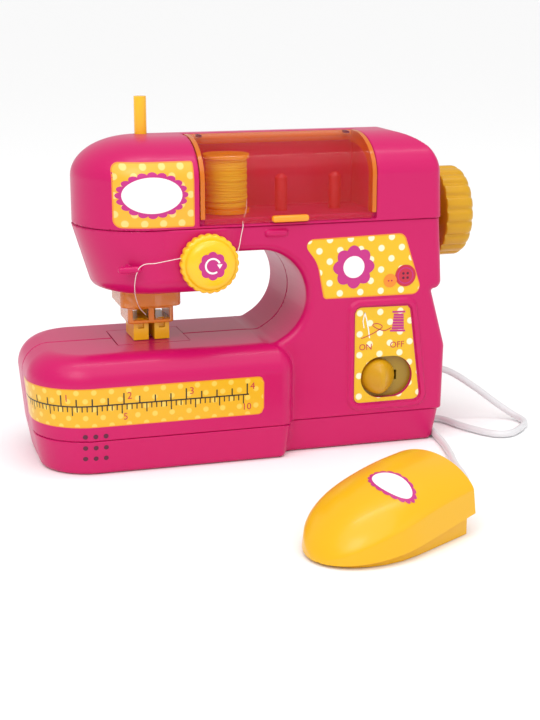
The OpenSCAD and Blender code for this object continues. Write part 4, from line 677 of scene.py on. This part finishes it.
def pedal_oval(name, long, wide, wave, lift, mat, n=208, rings=8):
    """An oval with a scalloped edge, laid onto the pedal's top."""
    t = circle(n)
    w = 1 + wave * np.abs(np.cos(BADGE_LOBES * t)) ** 0.6
    p = []
    for share in np.linspace(1, 0.04, rings):
        for a, grow in zip(t, w):
            u = BADGE_U + wide * grow * share * math.sin(a)
            v = BADGE_V + long * grow * share * math.cos(a)
            p.append((u, v, pedal_height(u, v) + lift))
    faces = ring_faces(rings, n) + [tuple(range((rings - 1) * n, rings * n))]
    obj = mesh_object(name, to_pedal(np.array(p)), [g[::-1] for g in faces], mat)
    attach(obj, "pedal")


pedal_oval("pedal_badge_petals", 8.9, 5.4, 0.12, 0.12, MAGENTA_INK)
pedal_oval("pedal_badge_oval", 8.2, 4.7, 0.0, 0.2, WHITE_INK)


# %% [markdown]
# The spool lid is one bent sheet of clear orange plastic with a rib at each end,
# a barrel along its hinge and a rough pull tab.

# %% Spool lid
LID_L, LID_R, LID_LOW, LID_T = -18.2, 55.7, 98.4, 1.8
HINGE_Y, HINGE_Z, BARREL_R = -1.0, 129.6, 2.2
RIB_T, RIB_ROOM, RIB_D, RIB_LOW = 1.75, 1.8, 5, 100.7
TAB_BOX = (10.95, -31.9, 98.45), (26.45, -28.6, 101.2)
SLOT_XS, SLOT_W, SLOT_Y, SLOT_D = (LID_L + 4.6, LID_R - 5.9), 1.3, (-8.5, -3.2), 0.9


def lid_line(d, low, n=28):
    """The lid's line in Y and Z from its lower edge to the hinge, at a depth d under its outside."""
    a = np.radians(np.linspace(0, 90, n))
    y = -COVER_HALF + CROWN_D - (CROWN_D - d) * np.cos(a)
    z = TOP - CROWN + (CROWN - d) * np.sin(a)
    return np.stack([np.concatenate([[-COVER_HALF + d], y, [HINGE_Y]]),
                     np.concatenate([[low], z, [TOP - d]])], 1)


def band_mesh(depth, x0, x1, low):
    """The lid's bent sheet between two places along X, as quads."""
    outer, inner = lid_line(0, low), lid_line(depth, low)
    n = len(outer)
    loop = np.concatenate([outer, inner[::-1]])
    p = np.concatenate([np.column_stack([np.full(2 * n, x), loop]) for x in (x0, x1)])
    m = 2 * n
    faces = [(i, m + i, m + (i + 1) % m, (i + 1) % m) for i in range(m)]
    for i in range(n - 1):
        a = (i, i + 1, m - 2 - i, m - 1 - i)
        faces.append(a)
        faces.append(tuple(m + k for k in a[::-1]))
    return p, faces


def merged(parts):
    """Several meshes as one."""
    points, faces, base = [], [], 0
    for p, f in parts:
        points.append(np.asarray(p, float))
        faces += [tuple(int(k) + base for k in face) for face in f]
        base += len(p)
    return np.concatenate(points), faces


def rod_mesh(p0, p1, r, n=32):
    """A closed round rod between two points."""
    d = np.array(p1, float) - np.array(p0, float)
    d /= np.linalg.norm(d)
    s = np.cross(d, [0, 0, 1] if abs(d[2]) < 0.9 else [1, 0, 0])
    s /= np.linalg.norm(s)
    t = np.cross(d, s)
    a = circle(n)
    ring = r * (np.cos(a)[:, None] * s + np.sin(a)[:, None] * t)
    return np.concatenate([ring + p0, ring + p1]), capped_faces(2, n)


sheet = band_mesh(LID_T, LID_L + RIB_ROOM, LID_R - RIB_ROOM, LID_LOW)
piece("lid_sheet", sheet, CLEAR, "lid", "spool_lid")
ribs = merged([band_mesh(RIB_D, LID_L, LID_L + RIB_T, RIB_LOW),
               band_mesh(RIB_D, LID_R - RIB_T, LID_R, RIB_LOW),
               rod_mesh((LID_L, HINGE_Y, HINGE_Z), (LID_R, HINGE_Y, HINGE_Z), BARREL_R)])
piece("lid_ribs", ribs, CLEAR_EDGE, "lid")


def block_mesh(lo, hi):
    """A box between two corners."""
    p = np.array([(x, y, z) for x in (lo[0], hi[0]) for y in (lo[1], hi[1]) for z in (lo[2], hi[2])], float)
    return p, [(0, 1, 3, 2), (4, 6, 7, 5), (0, 4, 5, 1), (2, 3, 7, 6), (0, 2, 6, 4), (1, 5, 7, 3)]


def made_mesh(obj):
    """What an object's modifiers or letters give, as a mesh of its own."""
    graph = bpy.context.evaluated_depsgraph_get()
    graph.update()
    return bpy.data.meshes.new_from_object(obj.evaluated_get(graph))


def bevel(obj, width, segments):
    """A modifier that rounds an object's edges."""
    mod = obj.modifiers.new("edge", "BEVEL")
    mod.width = width * MM
    mod.segments = segments
    mod.limit_method = "ANGLE"
    mod.angle_limit = math.radians(40)
    return mod


lid_tab = piece("lid_tab", block_mesh(*TAB_BOX), KNOBBLY, "lid")
mod = bevel(lid_tab, 1.1, 3)
mesh = made_mesh(lid_tab)
lid_tab.modifiers.remove(mod)
lid_tab.data = mesh
sharp_by_angle(lid_tab, 50)
# Painted shade: dark blocks flush with the lid's top, standing in for the shade inside each slot.
slots = [block_mesh((x, SLOT_Y[0], TOP - SLOT_D), (x + SLOT_W, SLOT_Y[1], TOP + 0.02)) for x in SLOT_XS]
piece("lid_slot_shade", merged(slots), DARK_INK_AND_SHADE, "lid")
print("lid pieces made")


# %% [markdown]
# Revolved pieces: the dial with its bumpy rim, the fluted handwheel and the domed knob.

# %% Dial, handwheel and knob
def revolved(profile, n, wave):
    """Rings of a profile of (radius, height); wave changes the radius round the ring."""
    a = circle(n)
    rings = []
    for r, h in profile:
        rr = wave(r, h, a)
        rings.append(np.stack([rr * np.cos(a), rr * np.sin(a), np.full(n, h)], 1))
    return np.concatenate(rings), capped_faces(len(profile), n)


def arc(cx, cy, rx, ry, a0, a1, n):
    """Part of an ellipse, from one angle to another."""
    return [(cx + rx * math.cos(a), cy + ry * math.sin(a)) for a in np.radians(np.linspace(a0, a1, n))]


def facing_front(p, x, y, z):
    """From a lathe's axis to a piece that faces the front, its back at y."""
    return np.stack([p[:, 0] + x, -p[:, 2] + y, p[:, 1] + z], 1)


DIAL_LOBES, DIAL_BUMP, DIAL_STEM_R, DIAL_STEM_Y = 12, 0.55, 3, -23.2
WHEEL_X, FLUTES, FLUTE_D = 92.0, 20, 0.9


def dial_wave(r, h, a):
    """Lobes round the dial's rim that fade towards its face."""
    bump = np.clip((r - 8) / 3.3, 0, 1) * np.clip((5.2 - h) / 1.5, 0, 1)
    return r + DIAL_BUMP * bump * (np.abs(np.cos(DIAL_LOBES * a)) - 0.5)


dial_profile = [(11.2, 0)] + arc(10.7, 1.0, 1.0, 1.0, -80, 0, 5) + arc(10.2, 3.6, 1.5, 1.2, 0, 80, 5) \
    + arc(6.0, 5.2, 4.3, 3.0, 20, 88, 10) + [(5.9, 8.3), (5.6, 8.15), (0.3, 8.15)]
p, f = revolved(dial_profile, 192, dial_wave)
piece("dial_knob", (facing_front(p, DIAL_X, DIAL_BACK, DIAL_Z), f), BRIGHT, "dial", "tension_dial", 40)
stem = rod_mesh((DIAL_X, DIAL_BACK + 0.1, DIAL_Z), (DIAL_X, DIAL_STEM_Y, DIAL_Z), DIAL_STEM_R)
piece("dial_stem", stem, YELLOW, "dial")


def wheel_wave(r, h, a):
    """Flutes round the handwheel's rim."""
    deep = np.clip((r - 14) / 3.5, 0, 1) * np.clip((h + 0.2) / 0.8, 0, 1)
    return r - FLUTE_D * deep * (0.5 - 0.5 * np.cos(FLUTES * a)) ** 3


wheel_profile = [(7, -5.2), (7, -0.1), (17.6, -0.1)] + arc(18.6, 0.8, 0.8, 0.8, -80, 0, 4) \
    + [(19.4, 3), (19.4, 6), (19.4, 8.5)] + arc(15.4, 9, 4, 4, 0, 85, 10) \
    + [(13, 12.9), (12, 12.4), (11.6, 11), (0.3, 11)]
p, f = revolved(wheel_profile, 400, wheel_wave)
p = np.stack([p[:, 2] + WHEEL_X, p[:, 0], p[:, 1] + SHAFT_Z], 1)
piece("wheel_rim", (p, f), GOLD, "drive", "handwheel", 40)

KNOB_X, KNOB_Y, KNOB_R, KNOB_H, CREASE, CREASE_HALF = 58.55, -27.05, 7.6, 7.4, 0.55, 0.8
KNOB_STEM_Y, KNOB_STEM_R = (-27, -21.5), 1.8


def knob_mesh(n=96, rings=24):
    """A ball with a soft vertical crease down its middle."""
    a = circle(n)
    out = []
    for r in np.linspace(1, 0.01, rings):
        x, z = KNOB_R * r * np.cos(a), KNOB_R * r * np.sin(a)
        fall = CREASE * np.maximum(np.abs(x) - CREASE_HALF, 0) * (1 - r ** 2) ** 0.25
        h = KNOB_H * math.sqrt(1 - r ** 2) - fall
        out.append(np.stack([x + KNOB_X, KNOB_Y - np.maximum(h, 0), z + SWITCH_Z], 1))
    return np.concatenate(out), capped_faces(rings, n)


piece("switch_ball", knob_mesh(), GOLD, "switch", "switch_knob", 24)
piece("switch_stem", rod_mesh(*((KNOB_X, y, SWITCH_Z) for y in KNOB_STEM_Y), KNOB_STEM_R), YELLOW, "switch")
print("dial, wheel and knob made")


# %% [markdown]
# Thread: many close turns on the spool, and one strand to the dial, the hook and the needle.

# %% Thread
SPOOL_X, SPOOL_Y, WOBBLE, SWELL, THREAD_R = -3.0, -11.5, 0.16, 0.07, 0.16


def winding(turns, z0, z1, radius, thick, phase, seed, rings=40, n=6):
    """A helix of thread with n sides, each turn a little out of its place."""
    rng = np.random.default_rng(seed)
    t = np.linspace(0, turns, turns * rings + 1)
    wob = np.interp(t, np.arange(turns + 1), rng.normal(0, WOBBLE, turns + 1))
    a = 2 * math.pi * t + phase
    rad = radius + np.interp(t, np.arange(turns + 1), rng.normal(0, SWELL, turns + 1))
    z = z0 + (z1 - z0) * t / turns + wob
    path = np.stack([SPOOL_X + rad * np.cos(a), SPOOL_Y + rad * np.sin(a), z], 1)
    way = np.gradient(path, axis=0)
    way /= np.linalg.norm(way, axis=1, keepdims=True)
    side = np.cross(way, [0, 0, 1])
    side /= np.linalg.norm(side, axis=1, keepdims=True)
    up = np.cross(side, way)
    c = circle(n)[None, :, None]
    p = path[:, None] + thick * (np.cos(c) * side[:, None] + np.sin(c) * up[:, None])
    return p.reshape(-1, 3), ring_faces(len(path), n)


parts = [winding(26, 102.8, 122.4, 8.0, 0.42, 0.0, 1), winding(9, 122.2, 103.0, 8.3, 0.36, 1.0, 2),
         winding(7, 103.2, 122.0, 8.35, 0.34, 3.0, 3)]
piece("wound_thread", merged(parts), THREAD, "spool", "thread_winding", 180)
STRAND = [(4.6, -15.6, 106.0), (2.4, -22, 102.2), (-0.4, -27.4, 99.2), (-1.1, -30.2, 97.4),
          (-2.2, -31.2, 93.6), (-3.2, -32.0, 89.6), (-4.6, -32.6, 86.4)]
LOOSE = [(-26.4, -32.6, 86.4), (-31.0, -32.9, 85.8), (-37.0, -32.9, 84.9), (-43.2, -32.7, 84.0),
         (-44.9, -31.9, 81.0), (-45.2, -30.4, 78.4), (-44.8, -26.5, 73.5), (-43.0, -20.5, 68.0),
         (-40.0, -13.8, 62.5), (-37.4, -11.2, 59.6)]
for name, points in (("thread_upper", STRAND), ("thread_lower", LOOSE)):
    obj = tube_curve(name, points, THREAD_R, 8, 2)
    obj.data.materials.append(WHITE_THREAD)
    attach(obj, "machine")


# %% [markdown]
# Stickers lie on the shells: each print is laid out flat, then dropped onto the surface under it.

# %% Stickers
def drop(field, x, z, y=-48.0, lift=0.0):
    """The first place on the field's surface seen from the front at x, z."""
    y = np.full(len(x), y)
    for _ in range(80):
        y += 0.8 * np.clip(field(x, y, z), -1, 3)
    return y - lift


def fan_sheet(edge, rings=14):
    """A sheet inside a closed edge, as rings round its middle."""
    mid = edge.mean(0)
    n = len(edge)
    p = np.concatenate([mid + (edge - mid) * t for t in np.linspace(1, 0.03, rings)])
    return p, ring_faces(rings, n) + [tuple(range((rings - 1) * n, rings * n))]


def sticker(name, corners, radii, field, mat, lift, grow=0.0):
    """A rounded sheet laid onto a field's front, its corners moved out by grow."""
    pts = np.array(corners, float)
    if grow:
        mid = pts.mean(0)
        pts = pts + np.sign(pts - mid) * grow
    edge = outline(pts, [r + grow for r in radii], 8)
    dense = []
    for a, b in zip(edge, np.roll(edge, -1, axis=0)):
        k = max(1, int(np.linalg.norm(b - a) / 1.5))
        dense += [a + (b - a) * i / k for i in range(k)]
    p, f = fan_sheet(np.array(dense))
    y = drop(field, p[:, 0], p[:, 1], lift=lift)
    piece(name, (stood(p, y), f), mat, "machine", uv=p, degrees=60)


HEAD_CORNERS = [(-52.0, 98.7), (-21.2, 98.7), (-21.2, 123.3), (-52.0, 123.3)]
HEAD_RADII = [2.8, 0.4, 0.4, 2.8]
COLUMN_RADII = [1.2, 3.0, 3.0, 2.4, 14.0]
COLUMN_CORNERS = [(34.0, 65.9), (76.8, 65.7), (68.2, 90.9), (23.9, 90.0), (31.2, 80.2)]
PANEL_CORNERS = [(47.4, 19.7), (76.9, 19.7), (71.6, 60.8), (47.4, 60.8)]
PRINT_R, PRINT_HOLE_R, PRINT_Y = 2.6, 8.9, -29.15
UNDER, OVER, MARK_LIFT, BORDER = 0.05, 0.10, 0.15, 0.5
for name, corners, radii, field, mat in (("head", HEAD_CORNERS, HEAD_RADII, cover_body, PALE_STICKER),
                                         ("column", COLUMN_CORNERS, COLUMN_RADII, body_field, STICKER)):
    sticker(name + "_edge", corners, radii, field, EDGE_INK, UNDER, BORDER)
    sticker(name + "_print", corners, radii, field, mat, OVER)


def panel_sheet():
    """The switch sticker, with the opening for the knob left out of it."""
    a = circle(120)
    c, s = np.cos(a), np.sin(a)
    hole = np.stack([SWITCH_X + SLOT_HALF * np.sign(c) + PRINT_HOLE_R * c, SWITCH_Z + PRINT_HOLE_R * s], 1)
    edge = outline(PANEL_CORNERS, [PRINT_R] * 4, 8)
    mid = np.array([SWITCH_X, SWITCH_Z])
    rim = []
    for d in hole - mid:
        q = mid + np.linspace(4, 60, 1400)[:, None] * (d / np.linalg.norm(d))
        rim.append(q[np.argmax(poly_field(q[:, 0], q[:, 1], edge) > 0)])
    rim = np.array(rim)
    k = 10
    p = np.concatenate([hole + (rim - hole) * t for t in np.linspace(0, 1, k)])
    n = len(hole)
    f = [(j * n + i, (j + 1) * n + i, (j + 1) * n + (i + 1) % n, j * n + (i + 1) % n)
         for j in range(k - 1) for i in range(n)]
    return p, f


p, f = panel_sheet()
piece("panel_print", (stood(p, PRINT_Y), f), STICKER, "machine", uv=p)
print("stickers laid")


# %% [markdown]
# The rule runs along the bed's front and round its left corner, so its print is laid out
# along the bed's edge and then wrapped onto it.

# %% Rule
RULE_X = 6


def bed_path():
    """The bed's edge, along its front from right to left and then round the corner."""
    cx, cy = BED_L + END_R, -BED_HALF + END_R
    line = [(x, -BED_HALF) for x in np.linspace(RULE_X, cx, 60)]
    bend = [(cx + END_R * math.cos(a), cy + END_R * math.sin(a))
            for a in np.radians(np.linspace(270, 180, 60))]
    return np.array(line + bend[1:] + [(BED_L, cy + 6)])


PATH = bed_path()
ALONG = np.concatenate([[0], np.cumsum(np.linalg.norm(np.diff(PATH, axis=0), axis=1))])


def wrap(s, z, lift):
    """From a length along the bed's edge, 0 at RULE_X, to a point on the bed."""
    here, after, before = (np.stack([np.interp(s + d, ALONG, PATH[:, k]) for k in (0, 1)], 1)
                           for d in (0, 0.5, -0.5))
    ahead, aside = (after - before).T
    size = np.hypot(ahead, aside)
    out = np.stack([-aside / size, ahead / size], 1)
    q = here + out * 6
    for _ in range(60):
        d = bed_field(q[:, 0], q[:, 1], z)
        q -= out * (0.8 * np.clip(d, -1, 3))[:, None]
    q += out * lift
    return np.column_stack([q, z])


RULE_LEN = ALONG[-1] - 1
LINE_Z, RULE_LO, RULE_HI, RULE_GROW = 29.4, 20.8, 36.2, 0.4


def rule_sheet(s0, s1, z0, z1, r, lift, n=120, rows=9):
    """A sheet wrapped onto the bed, its two right corners rounded by drawing the end in."""
    p = np.array([(s, z) for z in np.linspace(z0, z1, rows) for s in np.linspace(s0, s1, n)])
    near = np.clip((s0 + r - p[:, 0]) / r, 0, 1)
    rise = np.sqrt(np.maximum(r ** 2 - (near * r) ** 2, 0))
    high, low = z1 - r + rise, z0 + r - rise
    p[:, 1] = low + (high - low) * ((p[:, 1] - z0) / (z1 - z0))
    f = [((j + 1) * n + i, (j + 1) * n + i + 1, j * n + i + 1, j * n + i)
         for j in range(rows - 1) for i in range(n - 1)]
    return wrap(p[:, 0], p[:, 1], lift), f, p


p, f, _ = rule_sheet(0.0, RULE_LEN, RULE_LO - RULE_GROW, RULE_HI + RULE_GROW, 2.6, UNDER)
piece("rule_edge", (p, f), EDGE_INK, "machine", degrees=60)
p, f, uv = rule_sheet(RULE_GROW, RULE_LEN, RULE_LO, RULE_HI, 2.4, OVER)
piece("rule_print", (p, f), RULE_PAPER, "machine", uv=uv, degrees=60)


def taken_apart(obj):
    """Points and faces of what an object makes; the object itself goes."""
    mesh = made_mesh(obj)
    bpy.data.objects.remove(obj)
    return np.array([v.co for v in mesh.vertices]), [tuple(q.vertices) for q in mesh.polygons]


def instances(name, places, sizes, mat):
    """Unit squares stood at each place and stretched to size, by a node tree; the result is a plain mesh."""
    base = bpy.data.meshes.new(name + "_places")
    base.from_pydata([(a, b, 0) for a, b in places], [], [])
    layer = base.attributes.new("size", "FLOAT_VECTOR", "POINT")
    layer.data.foreach_set("vector", np.array([(a, b, 1) for a, b in sizes], float).ravel())
    obj = bpy.data.objects.new(name, base)
    bpy.context.collection.objects.link(obj)
    tree = bpy.data.node_groups.new(name, "GeometryNodeTree")
    tree.interface.new_socket("Geometry", in_out="INPUT", socket_type="NodeSocketGeometry")
    cut = tree.interface.new_socket("Cuts", in_out="INPUT", socket_type="NodeSocketInt")
    tree.interface.new_socket("Geometry", in_out="OUTPUT", socket_type="NodeSocketGeometry")
    first = tree.nodes.new("NodeGroupInput")
    last = tree.nodes.new("NodeGroupOutput")
    grid = add(tree, "GeometryNodeMeshGrid", **{"Size X": 1, "Size Y": 1})
    size = add(tree, "GeometryNodeInputNamedAttribute", data_type="FLOAT_VECTOR", Name="size")
    put = add(tree, "GeometryNodeInstanceOnPoints")
    real = add(tree, "GeometryNodeRealizeInstances")
    paint = add(tree, "GeometryNodeSetMaterial", Material=mat)
    for a, out, b, into in ((first, "Cuts", grid, "Vertices X"), (first, "Cuts", grid, "Vertices Y"),
                            (first, "Geometry", put, "Points"), (grid, "Mesh", put, "Instance"),
                            (size, "Attribute", put, "Scale"), (put, "Instances", real, "Geometry"),
                            (real, "Geometry", paint, "Geometry"), (paint, "Geometry", last, "Geometry")):
        tree.links.new(a.outputs[out], b.inputs[into])
    mod = obj.modifiers.new("repeat", "NODES")
    mod.node_group = tree
    mod[cut.identifier] = 3
    return taken_apart(obj)


INCH, FOUR_X = 25.4, -1.2
ZERO = RULE_X - FOUR_X + 4 * INCH
LINE_FROM, LINE_LEN, LINE_BITS, LINE_W = 6.5, RULE_LEN - 8, 60, 0.55
places, sizes = [], []
# Quarter inches stand on the line, and marks 2 mm apart hang under it
for marks, step, every, long, short, width, side in ((range(2, 18), INCH / 4, 4, 4.6, 3.0, 0.55, 1),
                                                     (range(3, 51), 2, 5, 3.8, 2.3, 0.46, -1)):
    for i in marks:
        s = ZERO - i * step
        if 3 < s < RULE_LEN - 2:
            h = long if i % every == 0 else short
            places.append((s, LINE_Z + side * h / 2))
            sizes.append((width, h))
for i in range(LINE_BITS):
    places.append((LINE_FROM + LINE_LEN * (i + 0.5) / LINE_BITS, LINE_Z))
    sizes.append((LINE_LEN / LINE_BITS + 0.05, LINE_W))
p, f = instances("rule_ticks", places, sizes, BLACK_INK)
piece("rule_marks", (wrap(p[:, 0], p[:, 1], MARK_LIFT), f), BLACK_INK, "machine")


def words(text, size):
    """Flat letters as points and faces, the middle of their foot at zero."""
    data = bpy.data.curves.new("letters", "FONT")
    data.body = text
    data.size = size
    data.align_x = "CENTER"
    data.resolution_u = 4
    obj = bpy.data.objects.new("letters", data)
    bpy.context.collection.objects.link(obj)
    p, f = taken_apart(obj)
    return p[:, :2], f


parts = []
for unit, numbers, size, aside, foot in ((INCH, (1, 2, 3, 4), 4.2, 2.3, 31.4), (10, (5, 10), 4.0, 1.4, 22.9)):
    for number in numbers:
        q, g = words(str(number), size)
        parts.append((wrap(ZERO - number * unit - aside - q[:, 0], foot + q[:, 1], MARK_LIFT), g))
piece("rule_numbers", merged(parts), RED_INK, "machine")
print("rule made:", len(places), "marks")


# %% [markdown]
# Small prints: words and line drawings on the switch panel, buttons and a flower on the column,
# an arrow in a flower on the dial, and a plain oval on the head. Last, painted shade: dark discs at the
# speaker openings.

# %% Small prints
def ribbon(points, width):
    """A flat line of some width through points."""
    p = np.array(points, float)
    way = np.gradient(p, axis=0)
    way /= np.maximum(np.linalg.norm(way, axis=1, keepdims=True), 1e-9)
    side = np.stack([-way[:, 1], way[:, 0]], 1) * width / 2
    q = np.concatenate([p + side, p - side])
    n = len(p)
    return q, [(i, i + 1, n + i + 1, n + i) for i in range(n - 1)]


def curve_through(points, n=40):
    """A smooth line through points."""
    p = np.array(points, float)
    out = []
    for v in np.linspace(0, len(p) - 1, n):
        i = min(int(v), len(p) - 2)
        u = v - i
        a, b, c, d = p[max(i - 1, 0)], p[i], p[i + 1], p[min(i + 2, len(p) - 1)]
        out.append(0.5 * (2 * b + (c - a) * u + (2 * a - 5 * b + 4 * c - d) * u ** 2
                          + (3 * b - a - 3 * c + d) * u ** 3))
    return np.array(out)


def disc(x, z, r, n=48, wave=0.0, petals=0):
    """A flat disc, or a flower if it has petals."""
    a = circle(n)
    rr = r * (1 + wave * np.abs(np.cos(petals * a / 2))) if petals else np.full(n, r)
    p = np.concatenate([[(x, z)], np.stack([x + rr * np.cos(a), z + rr * np.sin(a)], 1)])
    return p, [(0, 1 + i, 1 + (i + 1) % n) for i in range(n)]


def flat_print(name, parts, y, mat, body="machine"):
    """Flat shapes stood up facing the front at y."""
    piece(name, merged([(stood(q, y), g) for q, g in parts]), mat, body)


def at(mesh, x, z):
    """A flat shape moved to a place."""
    return mesh[0] + np.array([x, z]), mesh[1]


PANEL_Y = -29.22
flat_print("switch_words", [at(words("ON", 3.7), 52.2, 42.6), at(words("OFF", 3.7), 66.3, 42.8)],
           PANEL_Y, RED_INK)
spool_rows = [ribbon([(63.8 + 0.15 * k, 51.2 + 1.15 * k), (69.2 - 0.05 * k, 50.9 + 1.15 * k)], 0.95)
              for k in range(6)]
spool_ends = [ribbon([(63.0, 50.2), (69.8, 49.8)], 0.8), ribbon([(63.9, 58.2), (69.7, 58.0)], 0.8)]
flat_print("spool_drawing", spool_rows + spool_ends, PANEL_Y, MAGENTA_INK)
strand_print = curve_through([(63.6, 51.6), (60.5, 50.4), (57, 51.6), (55.2, 53.2), (57.5, 53.6),
                              (59.5, 52), (56, 49.8), (52.6, 48.4), (50.2, 47.6)])
flat_print("strand_drawing", [ribbon(strand_print, 0.35)], PANEL_Y - 0.01, RED_INK)
needle_print = [ribbon([(51.6, 58.6), (52.4, 56), (53.4, 51), (53.9, 47.6)], 0.5),
                ribbon([(51.6, 58.6), (50.9, 55), (51.4, 52)], 0.4)]
flat_print("needle_drawing", needle_print, PANEL_Y, WHITE_INK)

COLUMN_Y = -29.18
BIG_X, BIG_Z, SMALL_X, SMALL_Z, BLOSSOM = 69.4, 73.4, 62.6, 71.6, (46.5, 78.2)
ring = [(BIG_X + 3.3 * math.cos(a), BIG_Z + 3.3 * math.sin(a)) for a in np.linspace(0, 2 * math.pi, 60)]
big_holes = [disc(BIG_X + a, BIG_Z + b, 0.55, 16) for a in (-0.95, 0.95) for b in (-0.95, 0.95)]
small_holes = [disc(SMALL_X + a, SMALL_Z, 0.4, 16) for a in (-0.7, 0.7)]
for name, parts, lift, mat in (("button_big", [disc(BIG_X, BIG_Z, 4.6)], 0, RED_INK),
                               ("button_ring", [ribbon(ring, 0.4)], 0.04, MAGENTA_INK),
                               ("button_holes", big_holes, 0.05, DARK_INK_AND_SHADE),
                               ("button_small", [disc(SMALL_X, SMALL_Z, 2.9)], 0.02, ORANGE_INK),
                               ("button_small_holes", small_holes, 0.06, RED_INK),
                               ("blossom", [disc(*BLOSSOM, 7.4, 240, 0.22, 8)], 0, MAGENTA_INK),
                               ("blossom_eye", [disc(*BLOSSOM, 4.6)], 0.04, WHITE_INK)):
    flat_print(name, parts, COLUMN_Y - lift, mat)

FACE_Y, ARROW_R = DIAL_BACK - 8.22, 2.9
flat_print("dial_flower", [disc(DIAL_X, DIAL_Z, 4.9, 240, 0.17, 8)], FACE_Y, MAGENTA_INK, "dial")
turn = np.radians(np.linspace(305, 20, 50))
arrow = ribbon(np.stack([DIAL_X + ARROW_R * np.cos(turn), DIAL_Z + ARROW_R * np.sin(turn)], 1), 0.75)
tip = at((np.array([(3.9, 0.6), (1.6, 0.6), (2.75, -1.2)]), [(0, 1, 2)]), DIAL_X, DIAL_Z)
flat_print("dial_arrow", [arrow, tip], FACE_Y - 0.04, WHITE_INK, "dial")

OVAL_X, OVAL_Z = -37.4, 111.0


def head_oval(name, a, b, wave, petals, lift, mat, n=160, rings=10):
    """An oval laid onto the head, scalloped if it has petals."""
    t = circle(n)
    w = 1 + wave * np.abs(np.cos(petals * t / 2)) ** 0.6 if petals else np.ones(n)
    edge = np.stack([OVAL_X + a * w * np.cos(t), OVAL_Z + b * w * np.sin(t)], 1)
    p, f = fan_sheet(edge, rings)
    y = drop(cover_body, p[:, 0], p[:, 1], lift=lift)
    piece(name, (stood(p, y), f), mat, "machine", degrees=60)


head_oval("badge_petals", 12.5, 8.0, 0.14, 20, 0.16, MAGENTA_INK, 520)
head_oval("badge_oval", 11.8, 7.1, 0, 0, 0.22, WHITE_INK)

# Painted shade: flat dark discs dropped onto the bed and the pan where the speaker openings are, standing in
# for the shade inside them.
SOUND_X, SOUND_Z, SOUND_DX, SOUND_DZ = -63.6, 11.9, 4.1, 4.7
holes = [disc(SOUND_X + SOUND_DX * i, SOUND_Z + SOUND_DZ * k, 1.0, 24)
         for i in (-1, 0, 1) for k in (-1, 0, 1)]
parts = []
for q, g in holes:
    y = drop(bed_field if q[:, 1].mean() > PAN_Z else pan_field, q[:, 0], q[:, 1], lift=0.06)
    parts.append((stood(q, y), g))
piece("sound_hole_shade", merged(parts), DARK_INK_AND_SHADE, "machine")
print("prints made")


# %% [markdown]
# The solids that keep their own shape get their materials, and edges that catch the light.

# %% Materials on the solids
PAINT = {PINK: ["needle_plate", "battery_door"], RED: ["thread_pegs"], AMBER: ["switch_plate"],
         BRIGHT: ["presser_foot", "thread_spool", "presser_bar"], YELLOW: ["pedal_base"],
         WHITE: ["bar_guide", "shaft_bushes", "gear_frame", "drive_gear", "crank_disc", "idler_gear",
                 "needle_yoke"],
         STEEL: ["lid_pins", "idler_pin", "motor", "battery_contacts", "casing_screws", "pan_screws",
                 "pedal_pin", "main_shaft", "motor_pinion", "needle_bar", "needle_clamp", "needle",
                 "dial_clip"],
         BLACK: ["speaker", "slide_switch", "pedal_switch", "batteries"], BOARD: ["circuit_board"],
         VINYL: ["cord_gland", "pedal_gland"]}
for mat, names in PAINT.items():
    for n in names:
        data = nodes[n].data
        data.materials.clear()
        data.materials.append(mat)
for n in ("presser_foot", "needle_plate", "battery_door", "pedal_base"):
    bevel(nodes[n], 0.35, 2)

cord.data.materials.append(VINYL)
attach(cord, "machine")
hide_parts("cord")


# %% [markdown]
# A pale floor, a bright surround and large soft lights, as in a catalogue picture.

# %% Floor and light
floor_mat = plastic("pale_floor", "ffffff", 0.7)
bpy.ops.mesh.primitive_plane_add(size=200, location=(0, 0, -0.0002))
floor = bpy.context.object
floor.name = "floor"
floor.data.materials.append(floor_mat)


def area(name, place, aim, size, power):
    light = bpy.data.lights.new(name, "AREA")
    light.size = size
    light.energy = power
    obj = bpy.data.objects.new(name, light)
    obj.location = place
    way = np.array(aim, float) - np.array(place, float)
    obj.rotation_euler = (math.atan2(math.hypot(way[0], way[1]), -way[2]), 0,
                          math.atan2(way[1], way[0]) - math.pi / 2)
    bpy.context.collection.objects.link(obj)
    return obj


area("key", (-0.45, -0.75, 0.85), (0, -0.03, 0.06), 0.45, 1.9)
area("fill", (0.75, -0.8, 0.45), (0, -0.03, 0.06), 0.8, 0.8)
strip = area("strip", (0.12, -0.1, 1.0), (0.12, -0.05, 0.1), 0.07, 1.6)
strip.data.shape = "RECTANGLE"
strip.data.size, strip.data.size_y = 0.9, 0.07
sun = bpy.data.objects.new("sun", bpy.data.lights.new("sun", "SUN"))
sun.data.energy = 1.25
sun.data.angle = math.radians(70)
sun.rotation_euler = (math.radians(28), math.radians(-14), 0)
bpy.context.collection.objects.link(sun)
world = bpy.data.worlds.new("studio")
bpy.context.scene.world = world
world.use_nodes = True
world.node_tree.nodes["Background"].inputs["Color"].default_value = (1, 1, 1, 1)
world.node_tree.nodes["Background"].inputs["Strength"].default_value = 0.65
bpy.context.scene.view_settings.view_transform = "Standard"
